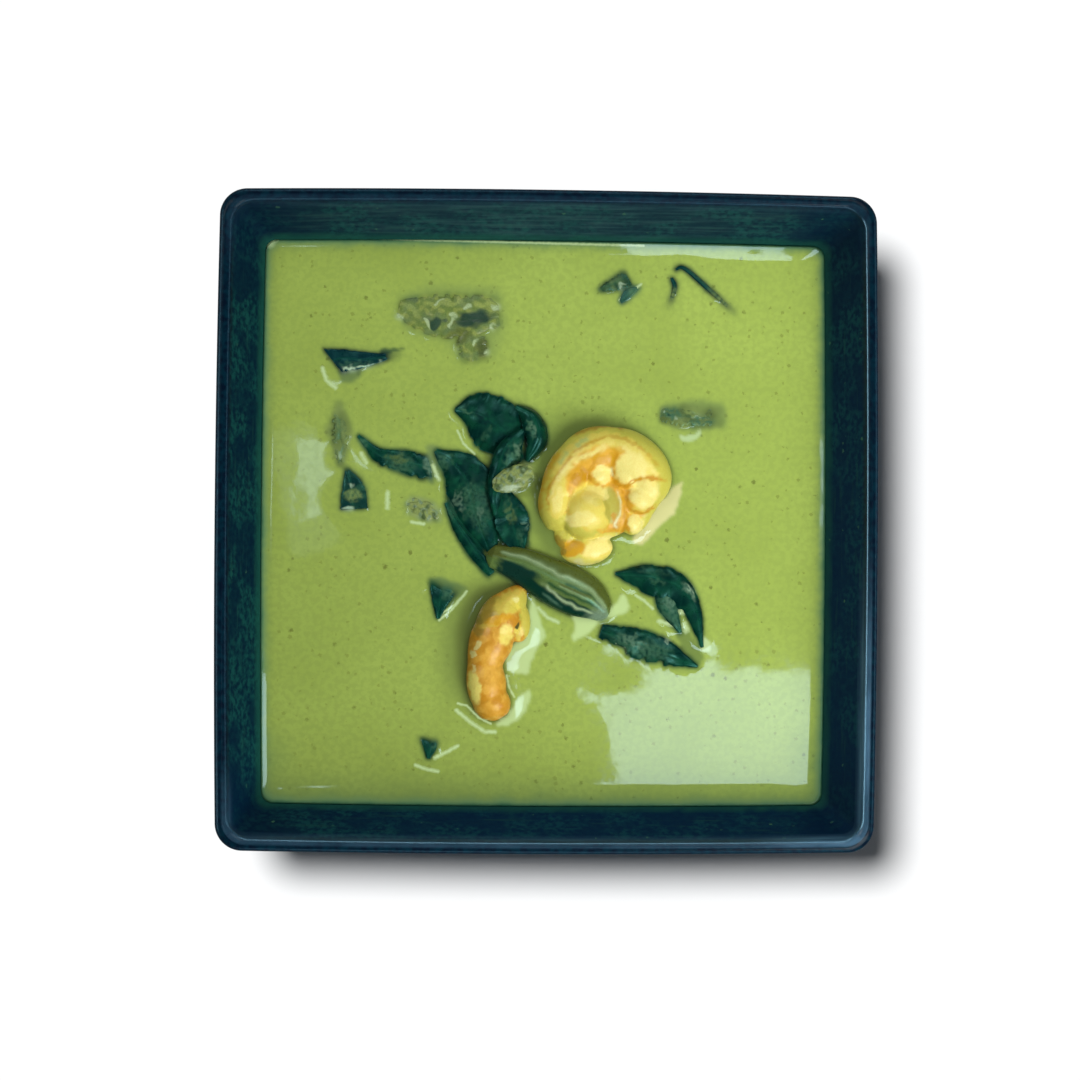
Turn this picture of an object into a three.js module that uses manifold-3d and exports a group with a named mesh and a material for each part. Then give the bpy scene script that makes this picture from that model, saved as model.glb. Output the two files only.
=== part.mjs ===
// Thai green curry with two prawns, basil leaves and bits of aubergine, in its square bowl.
// Millimetres, +Z up. The origin is on the table, under the middle of the bowl.

import * as THREE from 'three';
import { mergeVertices } from 'three/addons/utils/BufferGeometryUtils.js';
import Module from 'manifold-3d';

// ---- Driving dimensions ----

const BOWL_SIDE = 170;          // outside of the lip, at the middle of each side
const BOWL_HEIGHT = 50;
const SIDE_BULGE = 0.7;         // each side swells this far past its corners
const LIP_WIDTH = 2.8;
const LIP_DEPTH = 3.4;          // the lip's upright outer face
const LIP_CORNER = 7.5;         // corner radius outside the lip
const WALL_LEAN = 0.52;         // the wall leans in this far for each millimetre down
const WALL_THICKNESS = 3.4;     // measured level
const WELL_CORNER = 2.6;        // corner radius inside, at the bottom of the wall
const FLOOR_HEIGHT = 5;
const FLOOR_FILLET = 6;
const FOOT_SIDE = 116;
const FOOT_WIDTH = 5;
const FOOT_HEIGHT = 2.5;
const FOOT_CORNER = 9;

const CURRY_LEVEL = 33;         // the surface of the curry above the table
const GAP = 0.3;                // clearance between pieces that touch
const LEAF_THICKNESS = 0.7;

const SIDE_STEPS = 3;           // facets along half a side of the bowl
const CORNER_STEPS = 5;         // facets round one corner
const QUARTER_STEPS = 2 * SIDE_STEPS + CORNER_STEPS;
const LEAF_STEPS = [10, 4];     // facets along and across a leaf
const BIT_STEPS = [7, 2];       // facets along and across a tip, strip or shred
const PRAWN_STEPS = [24, 12];   // facets along and round a prawn
const LUMP_STEPS = [12, 7];     // facets round and down a lump of flesh

// ---- Materials ----

const finish = (color, roughness) => new THREE.MeshStandardMaterial({ color, roughness, metalness: 0 });
const MATERIALS = {
  glaze: finish(0x0a2c36, 0.3),
  curry: finish(0x9cb753, 0.25),
  prawn: finish(0xe9b556, 0.4),
  leaf: finish(0x0c3d2c, 0.4),
  aubergine: finish(0x8b9a55, 0.45),
};

// ---- The pieces on the curry ----
// Points are [x, y, height above the curry]. A leaf has a spine, and its widths to the left and right of
// the spine at even steps from its first end. camber arches it, rise lifts its left and right edges, and
// ripple waves them.

const PRAWNS = [
  {
    name: 'prawn_large',
    path: [[22.6, -2.8, -1], [24.2, 0.8, -0.4], [26, 6, 0.3], [26.6, 12.2, 0.6], [20.9, 17.5, 0.8],
      [13.6, 18.4, 1], [8.2, 15.4, 1], [5, 10.2, 0.8], [3.6, 4.4, 0.6], [6.4, -1.6, 0]],
    radii: [1.6, 2.8, 4, 6.9, 7.1, 6.9, 6.4, 5.8, 5.3, 4.6],
    segments: 6,
    lumps: [
      { centre: [14.6, 5, 0.4], size: [10, 9, 4.8], turn: 0 },
      { centre: [10.9, 2.4, 2.4], size: [6.8, 6.3, 5.4], turn: 0.5 },
      { centre: [11, -6.6, -1.2], size: [7.4, 4.6, 3.8], turn: 0.12 },
      { centre: [5.7, -3.2, -0.6], size: [3.3, 3.6, 2.8], turn: 0 },
      { centre: [13.7, 12.4, 3], size: [3.8, 3, 3.2], turn: 0.3 },
      { centre: [21.2, 12.8, 2.9], size: [4.6, 4, 3.9], turn: -0.4 },
      { centre: [24.4, 6.3, 2.4], size: [4.1, 3.8, 3.6], turn: 0.6 },
      { centre: [22.6, 0.2, 1.2], size: [2.9, 3.2, 2.8], turn: 0.4 },
    ],
  },
  {
    name: 'prawn_small',
    path: [[-5, -16.2, 0.3], [-7.6, -19.6, 0.6], [-10.4, -23.4, 0.8], [-13.1, -29.4, 0.8],
      [-14.9, -35.6, 0.6], [-14.7, -42.3, 0.5], [-13.2, -47.2, 0], [-12.4, -51.4, -0.6]],
    radii: [1.2, 3.6, 5.5, 5.9, 5, 5.1, 4.9, 3],
    segments: 5,
    lumps: [
      { centre: [-9.6, -26.6, 2.9], size: [2.9, 3.4, 2.7], turn: 0.6 },
      { centre: [-6.8, -25.4, 0.2], size: [3.4, 5.6, 2.8], turn: 0.1 },
    ],
  },
];

const POD = {
  name: 'leaf_ridged',
  path: [[-15, -8.2, 0.6], [-6.4, -10.9, 1.1], [2.5, -15.4, 1.4], [10.9, -19.3, 1], [16.8, -23.9, 0.3]],
  radii: [2.6, 4.5, 5.8, 5.6, 2.2],
  height: 0.55,                 // its height over its width
  ridge: 0.22,                  // how far the fold stands up along its back
};

const LEAVES = [
  {
    name: 'leaf_fold',
    spine: [[-5.8, 23.9, 2.6], [-9.8, 20, 3.2], [-12, 14.8, 3.3], [-13.3, 8.4, 2.8], [-12.9, 1.6, 2.2]],
    left: [0.6, 5.2, 4.2, 3, 0.4], right: [0.5, 2, 2.2, 1.6, 0.4],
    rise: [-1.9, -0.5], camber: 0.3, ripple: 0.25,
  },
  {
    name: 'leaf_top_right',
    spine: [[-7.6, 30.2, 1], [-3.5, 27.4, 2], [-1.7, 22, 2], [-4.6, 16, 1.2]],
    left: [0.5, 1.8, 2.5, 0.7], right: [0.5, 3.2, 3.4, 0.6], rise: [-1.7, -0.6], camber: 0.4, ripple: 0.2,
  },
  {
    name: 'leaf_curl',
    spine: [[-10.2, 9, 1.6], [-8.6, 2.8, 1.7], [-7.8, -1.9, 1.5], [-5.6, -7.6, 1.1]],
    left: [0.5, 3.8, 4.2, 0.5], right: [0.5, 4.4, 4.4, 1.6], rise: [-0.9, 0.6], camber: -0.7, ripple: 0.2,
  },
  {
    name: 'leaf_top',
    spine: [[-23.4, 29.2, 0.3], [-18.2, 28.4, 0.9], [-12.6, 25.2, 1.3], [-6.8, 20.2, 0.7]],
    left: [0.5, 5.6, 7, 2.2], right: [0.5, 5, 7.6, 4.6], rise: [-0.8, -1], camber: 0.5, ripple: 0.3,
  },
  {
    name: 'leaf_centre',
    spine: [[-28.2, 18.7, 0.2], [-20.9, 12, 0.8], [-18.2, 2.7, 0.9], [-13.9, -8, 0.5]],
    left: [0.4, 6.2, 6.4, 2], right: [0.8, 6, 4.5, 0.5], rise: [-0.3, -0.9], camber: 0.4, ripple: 0.3,
  },
  {
    name: 'leaf_tail',
    spine: [[-25.6, 5, 0.2], [-22.7, -0.5, 0.4], [-18.4, -6.8, 0.4], [-13.4, -13.2, 0.2]],
    left: [0.4, 0.8, 1.5, 1.5], right: [0.4, 1.5, 2.1, 1.6], rise: [-0.4, -0.5], camber: 0.2, ripple: 0.1,
  },
  {
    name: 'leaf_wing',
    spine: [[-48.4, 22.2, 0.1], [-43, 17.4, 0.2], [-36.8, 15.8, 0.2], [-29.6, 14, 0.1]],
    left: [0.4, 1.7, 2.9, 3], right: [0.4, 2.2, 3.4, 3.8], rise: [-0.2, -0.5], camber: 0.2, ripple: 0.15,
  },
  {
    name: 'leaf_right',
    spine: [[18.6, -13, 0.2], [26.3, -13.6, 0.7], [34.2, -15.8, 0.9], [39.5, -21.8, 0.8], [41.4, -32, 0.2]],
    left: [0.4, 3.2, 3.4, 1.5, 0.4], right: [0.4, 4.2, 5.2, 3.4, 0.4],
    rise: [-0.6, -0.5], camber: 0.4, ripple: 0.25,
    flap: {
      spine: [[30.9, -17.4, 0.7], [32.4, -22, 0.6], [35.7, -28.2, 0.1]],
      left: [2.4, 2.5, 0.4], right: [2.4, 2.4, 0.4], rise: [-0.1, -0.5], camber: 0.1, ripple: 0.1,
    },
  },
  {
    name: 'leaf_torn',
    spine: [[14.9, -28, 0.2], [21.6, -30.2, 0.5], [30.3, -33.2, 0.5], [40.2, -37, 0.2]],
    left: [1.9, 3.6, 3.9, 0.4], right: [2, 3.6, 3.6, 0.3], rise: [-0.5, -0.6], camber: 0.4, ripple: 0.2,
  },
];

const BITS = [
  { name: 'leaf_tip_upper',
    spine: [[-55.2, 41.6, 0.4], [-52.4, 42.2, 0.3], [-46.5, 42, 0], [-37.6, 43.4, -0.6]],
    left: [3.6, 2.4, 1.9, 0.3], right: [3.6, 3.6, 2, 0.3], rise: [0.1, 0.2] },
  { name: 'leaf_tip_low', spine: [[-27.4, -25, 0.4], [-26.8, -19.6, 0.2], [-25.8, -15.8, -0.6]],
    left: [0.4, 2.4, 4.2], right: [0.4, 2.9, 4.6], rise: [0.2, -0.2] },
  { name: 'leaf_tip_small', spine: [[-29.6, -61.2, 0.4], [-29.3, -58.4, 0.2], [-29, -56, -0.6]],
    left: [0.4, 1.7, 2.8], right: [0.4, 1.7, 1.8], rise: [0.2, 0] },
  { name: 'leaf_triangle', spine: [[-51.4, 13.8, -0.2], [-50, 8.9, 0.2], [-49.6, 3.2, 0.4]],
    left: [0.4, 3.2, 3.8], right: [0.4, 2.5, 3.3], rise: [-0.2, 0.1] },
  { name: 'shred_long', spine: [[33.6, 66.3, -0.1], [36.2, 66.6, 0.3], [42.6, 61.2, 0.4], [49.8, 55, -0.6]],
    left: [0.3, 0.5, 0.6, 0.4], right: [0.3, 0.5, 0.6, 0.4], rise: [0, 0] },
  { name: 'shred_short', spine: [[32.8, 64.2, 0.1], [33.6, 61.4, 0.2], [31.9, 56.2, -0.8]],
    left: [0.4, 0.6, 0.4], right: [0.4, 0.6, 0.4], rise: [0, 0] },
  { name: 'leaf_strip_right', spine: [[30, 28.4, -0.1], [36.3, 28.2, -0.1], [46.4, 27.8, -0.4]],
    left: [1.8, 3, 2.4], right: [1.8, 3, 2.4], rise: [-0.2, -0.1] },
  { name: 'leaf_bit_top', spine: [[13.6, 60.6, -0.4], [17.6, 62.4, 0.1], [21.2, 64.4, -0.1]],
    left: [0.5, 1.6, 2], right: [0.5, 2, 2.9], rise: [-0.1, 0],
    flap: { spine: [[19.4, 57.6, -0.1], [21.8, 59.8, 0.1], [24.6, 61.8, -0.5]],
      left: [0.5, 1.5, 0.4], right: [0.5, 0.9, 0.4], rise: [0, 0] } },
  { name: 'leaf_stub_left', spine: [[-53.4, 31, -0.6], [-53.2, 23.4, 0], [-53, 14.2, -0.1]],
    left: [0.5, 2.8, 0.5], right: [0.6, 2.4, 0.5], rise: [-0.3, 0] },
];

const AUBERGINES = [
  { name: 'aubergine_top', spine: [[-38.2, 55, 0], [-30.1, 53, 0.2], [-21.7, 52.4, 0.3], [-12, 53.4, 0]],
    left: [2.8, 6.4, 6.8, 5.8], right: [2, 4.4, 4.6, 2.6], rise: [-0.3, 0.1], camber: 0.2, ripple: 0.2,
    flap: { spine: [[-19.9, 50.6, 0.2], [-19.2, 46.4, 0.2], [-18.4, 41.8, -0.3]],
      left: [2.6, 4, 3.4], right: [2.6, 4, 3.4], rise: [-0.1, -0.1], camber: 0.1, ripple: 0.1 } },
];

const AUBERGINE_BITS = [
  { name: 'aubergine_bit', centre: [-8.4, 11.2, 3.9], size: [5.6, 3.2, 1.3], turn: 0.45 },
  { name: 'aubergine_bit_left', centre: [-31.3, 3.2, -0.6], size: [4.8, 2.7, 1.3], turn: -0.4 },
];

// ---- Solids ----

const wasm = await Module();
wasm.setup();

/** A closed three.js geometry as a solid: shared corners are joined and empty triangles dropped. */
function toSolid(geometry) {
  geometry.deleteAttribute('normal');
  geometry.deleteAttribute('uv');
  const merged = mergeVertices(geometry);
  const corners = [];
  for (let i = 0; i < merged.index.count; i += 3) {
    const [a, b, c] = [0, 1, 2].map((step) => merged.index.getX(i + step));
    if (a !== b && b !== c && c !== a) corners.push(a, b, c);
  }
  return new wasm.Manifold(new wasm.Mesh({
    numProp: 3,
    vertProperties: new Float32Array(merged.attributes.position.array),
    triVerts: new Uint32Array(corners),
  }));
}

/** The solid as a named mesh with its material. */
function toMesh(name, solid, material) {
  const { vertProperties, triVerts } = solid.getMesh();
  const geometry = new THREE.BufferGeometry();
  geometry.setAttribute('position', new THREE.BufferAttribute(new Float32Array(vertProperties), 3));
  geometry.setIndex(Array.from(triVerts));
  const mesh = new THREE.Mesh(geometry, material);
  mesh.name = name;
  return mesh;
}

/** The largest of the separate bodies in a solid. */
function largest(solid) {
  return solid.decompose().reduce((best, body) => (body.volume() > best.volume() ? body : best));
}

// ---- The bowl and the curry: profiles swept round a square ----

/** A point on a square with round corners and swelling sides, at one of the steps round it. */
function squarePoint(half, corner, step) {
  const quarter = Math.floor(step / QUARTER_STEPS);
  const k = step % QUARTER_STEPS;
  const swell = SIDE_BULGE * Math.min(1, half / (BOWL_SIDE / 2));
  const straight = half - swell - corner;
  const point = new THREE.Vector2(straight, straight);
  if (k < SIDE_STEPS || k > SIDE_STEPS + CORNER_STEPS) {
    const part = Math.min(k, QUARTER_STEPS - k) / SIDE_STEPS;
    const out = half - swell * part * part;
    point.set(out, straight * part);
    if (k > SIDE_STEPS) point.set(straight * part, out);
  } else {
    const angle = (Math.PI / 2) * ((k - SIDE_STEPS) / CORNER_STEPS);
    point.x += corner * Math.cos(angle);
    point.y += corner * Math.sin(angle);
  }
  return point.rotateAround(new THREE.Vector2(), quarter * (Math.PI / 2));
}

/** A lathe whose rings are rounded squares. Each profile row is [half side, height, corner radius]. */
function squareLathe(profile) {
  const steps = 4 * QUARTER_STEPS;
  const geometry = new THREE.LatheGeometry(profile.map(([half, z]) => new THREE.Vector2(half, z)), steps);
  const position = geometry.attributes.position;
  for (let i = 0; i < position.count; i += 1) {
    const step = Math.floor(i / profile.length) % steps;
    const [half, z, corner] = profile[i % profile.length];
    const point = half > 0 ? squarePoint(half, corner, step) : new THREE.Vector2();
    position.setXYZ(i, point.x, point.y, z);
  }
  return toSolid(geometry);
}

/** Half the inside width of the well at a height. */
function wellHalf(z) {
  return BOWL_SIDE / 2 - LIP_WIDTH - WALL_LEAN * (BOWL_HEIGHT - z);
}

/** The inner profile from the middle of the floor up to a height, set in by a clearance. */
function wellProfile(top, inset) {
  const rows = [[0, FLOOR_HEIGHT + inset, 0]];
  const turn = Math.atan2(1, WALL_LEAN);
  const reach = FLOOR_FILLET * Math.tan(turn / 2);
  const start = wellHalf(FLOOR_HEIGHT) - reach;
  for (let i = 0; i <= 3; i += 1) {
    const angle = turn * (i / 3);
    const half = start + FLOOR_FILLET * Math.sin(angle) - inset;
    const height = FLOOR_HEIGHT + FLOOR_FILLET * (1 - Math.cos(angle)) + inset;
    rows.push([half, height, WELL_CORNER + 1.2 - 0.4 * i]);
  }
  rows.push([wellHalf(top) - inset, top, WELL_CORNER + 0.4]);
  return rows;
}

function makeBowl() {
  const lip = BOWL_SIDE / 2;
  const inner = lip - LIP_WIDTH;
  const foot = FOOT_SIDE / 2;
  const underside = [
    [0, FOOT_HEIGHT / 2, 0],
    [foot - FOOT_WIDTH - 1, FOOT_HEIGHT / 2, FOOT_CORNER - FOOT_WIDTH],
    [foot - FOOT_WIDTH, 0, FOOT_CORNER - FOOT_WIDTH],
    [foot, 0, FOOT_CORNER],
    [foot + 0.5, FOOT_HEIGHT * 0.7, FOOT_CORNER],
    [foot + 2.5, FOOT_HEIGHT, FOOT_CORNER],
    [wellHalf(FLOOR_HEIGHT) + WALL_THICKNESS, FLOOR_HEIGHT + 2, LIP_CORNER],
  ];
  const edge = BOWL_HEIGHT - LIP_DEPTH;
  const rim = [
    [wellHalf(edge - 2) + WALL_THICKNESS, edge - 2, LIP_CORNER],
    [lip - 0.3, edge - 0.4, LIP_CORNER],
    [lip, edge + 0.6, LIP_CORNER],
    [lip, BOWL_HEIGHT - 1.1, LIP_CORNER],
    [lip - 0.35, BOWL_HEIGHT - 0.35, LIP_CORNER - 0.3],
    [lip - 1.1, BOWL_HEIGHT, LIP_CORNER - 0.9],
    [inner + 0.8, BOWL_HEIGHT, LIP_CORNER - 2],
    [inner + 0.2, BOWL_HEIGHT - 0.4, LIP_CORNER - 2.5],
  ];
  const well = wellProfile(BOWL_HEIGHT - 1.2, 0).reverse();
  return squareLathe([...underside, ...rim, ...well]);
}

function makeCurry() {
  return squareLathe([...wellProfile(CURRY_LEVEL, GAP), [0, CURRY_LEVEL, 0]]);
}

// ---- Paths ----

/** A smooth line through evenly spaced values, as a cubic between each two (Catmull-Rom). */
function through(values, s) {
  const place = THREE.MathUtils.clamp(s, 0, 1) * (values.length - 1);
  const i = Math.min(Math.floor(place), values.length - 2);
  const t = place - i;
  const [b, c] = [values[i], values[i + 1]];
  const a = i > 0 ? values[i - 1] : 2 * b - c;
  const d = i + 2 < values.length ? values[i + 2] : 2 * c - b;
  return b + 0.5 * t * (c - a + t * (2 * a - 5 * b + 4 * c - d + t * (3 * (b - c) + d - a)));
}

/** The point, direction and level left-hand normal of a path at s, which runs from 0 to 1. */
function frameAt(path, s) {
  const at = (u) => new THREE.Vector3(...[0, 1, 2].map((axis) => through(path.map((p) => p[axis]), u)));
  const point = at(s);
  point.z += CURRY_LEVEL;
  const along = at(Math.min(1, s + 0.01)).sub(at(Math.max(0, s - 0.01))).normalize();
  const left = new THREE.Vector3(-along.y, along.x, 0).normalize();
  return { point, along, left };
}

// ---- Leaves: thin wavy sheets with two faces split alike ----

/**
 * A point on the middle of a leaf: s runs along it and t across it, from -1 right to 1 left. The rim
 * moves out level by margin, and what lies inside the rim stays where it is.
 */
function leafPoint(leaf, s, t, margin) {
  const { point, along, left } = frameAt(leaf.spine, s);
  const widths = t > 0 ? leaf.left : leaf.right;
  const width = Math.max(0.2, through(widths, s));
  const fullness = width / Math.max(...widths);
  const lift = (leaf.camber ?? 0) * (1 - t * t) + (t > 0 ? leaf.rise[0] : leaf.rise[1]) * t * t;
  const wave = (leaf.ripple ?? 0) * t * Math.sin(Math.PI * (5 * s + 0.5 * t));
  const pastSide = Math.abs(t) === 1 ? margin * t : 0;
  const pastEnd = s === 0 || s === 1 ? margin * (2 * s - 1) : 0;
  point.addScaledVector(left, t * width + pastSide);
  point.x += along.x * pastEnd;
  point.y += along.y * pastEnd;
  point.z += fullness * (lift + wave);
  return point;
}

/** A leaf as a solid, with its rim closed. grow thickens and widens it on every side. */
function makeLeaf(leaf, grow, [stepsAlong, stepsAcross]) {
  const grid = new THREE.PlaneGeometry(1, 2, stepsAlong, stepsAcross);
  const flat = grid.attributes.position;
  const count = flat.count;
  const half = LEAF_THICKNESS / 2 + grow;
  const places = new Float32Array(count * 6);
  for (let i = 0; i < count; i += 1) {
    const point = leafPoint(leaf, flat.getX(i) + 0.5, flat.getY(i), grow);
    places.set([point.x, point.y, point.z + half], 3 * i);
    places.set([point.x, point.y, point.z - half], 3 * (count + i));
  }
  const top = Array.from(grid.index.array);
  const faces = [...top];
  for (let i = 0; i < top.length; i += 3) {
    faces.push(top[i] + count, top[i + 2] + count, top[i + 1] + count);
  }
  const rim = rimOf(stepsAlong, stepsAcross);
  rim.forEach((a, i) => {
    const b = rim[(i + 1) % rim.length];
    faces.push(a, a + count, b, b, a + count, b + count);
  });
  const geometry = new THREE.BufferGeometry();
  geometry.setAttribute('position', new THREE.BufferAttribute(places, 3));
  geometry.setIndex(faces);
  return toSolid(geometry);
}

/** The corners round the edge of a plane's grid, counter-clockwise seen from above. */
function rimOf(stepsAlong, stepsAcross) {
  const row = stepsAlong + 1;
  const rim = [];
  for (let i = 0; i < stepsAcross; i += 1) rim.push(i * row);
  for (let i = 0; i < stepsAlong; i += 1) rim.push(stepsAcross * row + i);
  for (let i = stepsAcross; i > 0; i -= 1) rim.push(i * row + stepsAlong);
  for (let i = stepsAlong; i > 0; i -= 1) rim.push(i);
  return rim;
}

/** A leaf with the flap that is joined to it, where it has one. */
function makeWholeLeaf(leaf, grow, steps) {
  const blade = makeLeaf(leaf, grow, steps);
  return leaf.flap ? blade.add(makeLeaf(leaf.flap, grow, BIT_STEPS)) : blade;
}

// ---- Prawns and pods: a ball drawn out along a path ----

/** Bends a ball along a path. section gives the radius sideways and upward at s and an angle. */
function bentBall(path, section, grow, [stepsAlong, stepsRound]) {
  const geometry = new THREE.SphereGeometry(1, stepsRound, stepsAlong);
  const position = geometry.attributes.position;
  for (let i = 0; i < position.count; i += 1) {
    const polar = Math.PI * (Math.floor(i / (stepsRound + 1)) / stepsAlong);
    const angle = -2 * Math.PI * ((i % (stepsRound + 1)) / stepsRound);
    const s = (1 - Math.cos(polar)) / 2;
    const { point, along, left } = frameAt(path, s);
    const [side, up] = section(s, angle).map((radius) => Math.max(0, radius) + grow);
    const taper = Math.min(1, 2.4 * Math.sin(polar));
    point.addScaledVector(left, taper * side * Math.cos(angle));
    point.addScaledVector(along, grow * (2 * s - 1));
    point.z += taper * up * Math.sin(angle);
    position.setXYZ(i, point.x, point.y, point.z);
  }
  return toSolid(geometry);
}

/** A ball pressed to a size, turned level about its centre. */
function makeLump({ centre, size, turn }, grow) {
  const geometry = new THREE.SphereGeometry(1, ...LUMP_STEPS);
  geometry.rotateX(Math.PI / 2);
  geometry.scale(...size.map((radius) => radius + grow));
  geometry.rotateZ(turn);
  geometry.translate(centre[0], centre[1], centre[2] + CURRY_LEVEL);
  return toSolid(geometry);
}

/** A prawn: its body swells at each segment, most on its belly, with lumps joined on. */
function makePrawn({ path, radii, segments, lumps }, grow) {
  const section = (s, angle) => {
    const belly = 0.5 + 0.5 * Math.cos(angle);
    const swell = Math.abs(Math.sin(Math.PI * segments * s));
    const radius = through(radii, s) * (0.94 - 0.05 * belly + (0.06 + 0.07 * belly) * swell);
    return [radius, radius];
  };
  const body = bentBall(path, section, grow, PRAWN_STEPS);
  return largest(lumps.reduce((whole, lump) => whole.add(makeLump(lump, grow)), body));
}

/** A leaf folded along its rib into a pod, with the fold standing up as a ridge. */
function makePod({ path, radii, height, ridge }, grow) {
  const section = (s, angle) => {
    const radius = through(radii, s);
    const fold = ridge * Math.max(0, Math.sin(angle)) ** 12;
    return [radius, radius * (height + fold)];
  };
  return bentBall(path, section, grow, [16, 16]);
}

// ---- Assembly ----

/** Every piece on the curry, those on top first: its name, finish and a way to make it. */
const toppings = [
  ...PRAWNS.map((prawn) => [prawn.name, 'prawn', (grow) => makePrawn(prawn, grow)]),
  [POD.name, 'leaf', (grow) => makePod(POD, grow)],
  ...AUBERGINE_BITS.map((bit) => [bit.name, 'aubergine', (grow) => makeLump(bit, grow)]),
  ...LEAVES.map((leaf) => [leaf.name, 'leaf', (grow) => makeWholeLeaf(leaf, grow, LEAF_STEPS)]),
  ...AUBERGINES.map((leaf) => [leaf.name, 'aubergine', (grow) => makeWholeLeaf(leaf, grow, LEAF_STEPS)]),
  ...BITS.map((bit) => [bit.name, 'leaf', (grow) => makeWholeLeaf(bit, grow, BIT_STEPS)]),
];

const curry = new THREE.Group();
curry.add(toMesh('bowl', makeBowl(), MATERIALS.glaze));

// Each piece is cut clear of the pieces above it, and the curry is cut clear of them all.
const above = [];
for (const [name, slot, make] of toppings) {
  const piece = above.reduce((rest, solid) => rest.subtract(solid), make(0));
  curry.add(toMesh(name, largest(piece), MATERIALS[slot]));
  above.push(make(GAP));
}
const soup = above.reduce((rest, solid) => rest.subtract(solid), makeCurry());
curry.add(toMesh('curry', largest(soup), MATERIALS.curry));

export default curry;
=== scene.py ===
# %% [markdown]
# # Thai green curry in its square bowl
#
# A square, dark teal bowl of thick green curry. Two prawns, basil leaves and bits of aubergine float in it.
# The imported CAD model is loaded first: it fixes where every piece lies. Each cell after that builds the
# finished look of one piece around its CAD solid.

import math

import bpy
import numpy as np
from mathutils import Matrix, Vector


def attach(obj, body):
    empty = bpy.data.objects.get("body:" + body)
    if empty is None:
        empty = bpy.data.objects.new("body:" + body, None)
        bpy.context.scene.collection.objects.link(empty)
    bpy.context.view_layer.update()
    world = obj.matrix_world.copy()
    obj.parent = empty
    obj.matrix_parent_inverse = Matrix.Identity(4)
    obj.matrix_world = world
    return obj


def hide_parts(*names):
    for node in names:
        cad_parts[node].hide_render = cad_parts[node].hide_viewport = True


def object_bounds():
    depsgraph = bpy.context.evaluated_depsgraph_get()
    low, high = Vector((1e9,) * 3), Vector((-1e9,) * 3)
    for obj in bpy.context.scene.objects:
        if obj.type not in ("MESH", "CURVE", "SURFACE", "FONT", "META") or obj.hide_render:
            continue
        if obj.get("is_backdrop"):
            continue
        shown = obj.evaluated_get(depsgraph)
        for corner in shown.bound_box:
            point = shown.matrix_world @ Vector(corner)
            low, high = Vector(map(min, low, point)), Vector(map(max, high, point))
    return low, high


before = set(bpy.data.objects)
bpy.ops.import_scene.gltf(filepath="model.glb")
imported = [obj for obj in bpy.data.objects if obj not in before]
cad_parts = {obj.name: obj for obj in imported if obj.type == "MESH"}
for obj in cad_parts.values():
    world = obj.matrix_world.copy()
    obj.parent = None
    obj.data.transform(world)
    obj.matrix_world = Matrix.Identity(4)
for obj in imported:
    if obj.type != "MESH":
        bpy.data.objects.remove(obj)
cad_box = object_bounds()
MM = 0.001
LEVEL = 33.0  # height of the curry, in millimetres
print("CAD box, mm:", [[round(v / MM, 1) for v in corner] for corner in cad_box])

# %% [markdown]
# ## The camera
#
# The bowl is seen from almost straight above with a long lens. A camera looks along its own -Z, so its
# matrix is built from three unit vectors: right, up and backwards. They come from two small tilts and a roll.

# %% Place the camera
AIM = np.array([-2.14, -4.78, 50.0])
DISTANCE = 1000.0
TILT_SIDEWAYS, TILT_FORWARD, ROLL = (math.radians(a) for a in (3.63, 1.30, -0.40))

look = np.array([math.tan(TILT_SIDEWAYS), math.tan(TILT_FORWARD), -1.0])
look /= np.linalg.norm(look)
eye = AIM - look * DISTANCE
right = np.cross(look, [math.sin(ROLL), math.cos(ROLL), 0.0])
right /= np.linalg.norm(right)
up = np.cross(right, look)

lens = bpy.data.cameras.new("camera")
lens.sensor_width = 36.0
lens.lens = 130.64
lens.clip_end = 20.0
camera = bpy.data.objects.new("camera", lens)
bpy.context.scene.collection.objects.link(camera)
camera.matrix_world = Matrix([[right[i], up[i], -look[i], eye[i] * MM] for i in range(3)] + [[0, 0, 0, 1]])
bpy.context.scene.camera = camera
print("camera at", [round(v, 1) for v in eye], "mm")

# %% [markdown]
# ## From arrays to meshes
#
# Every surface below is worked out as whole numpy arrays in millimetres. Two helpers turn them into meshes:
# one lists the corners of a grid's faces, the other writes points and faces with foreach_set. A closed shape
# has a volume, and its sign tells whether the faces point outwards.

# %% Mesh helpers
def grid_faces(rows, columns, ring=False):
    """Corners of the four-sided faces of a grid. With ring, the last column joins the first."""
    index = np.arange(rows * columns).reshape(rows, columns)
    if ring:
        index = np.concatenate([index, index[:, :1]], axis=1)
    return np.stack([index[:-1, :-1], index[:-1, 1:], index[1:, 1:], index[1:, :-1]], -1).reshape(-1, 4)


def signed_volume(points, quads, triangles):
    """Sum over the faces of one sixth of the box product of their corners: positive if they face outwards."""
    corners = np.concatenate([quads[:, [0, 1, 2]], quads[:, [0, 2, 3]], triangles])
    a, b, c = (points[corners[:, k]] for k in range(3))
    return float((np.cross(a, b) * c).sum() / 6)


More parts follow.
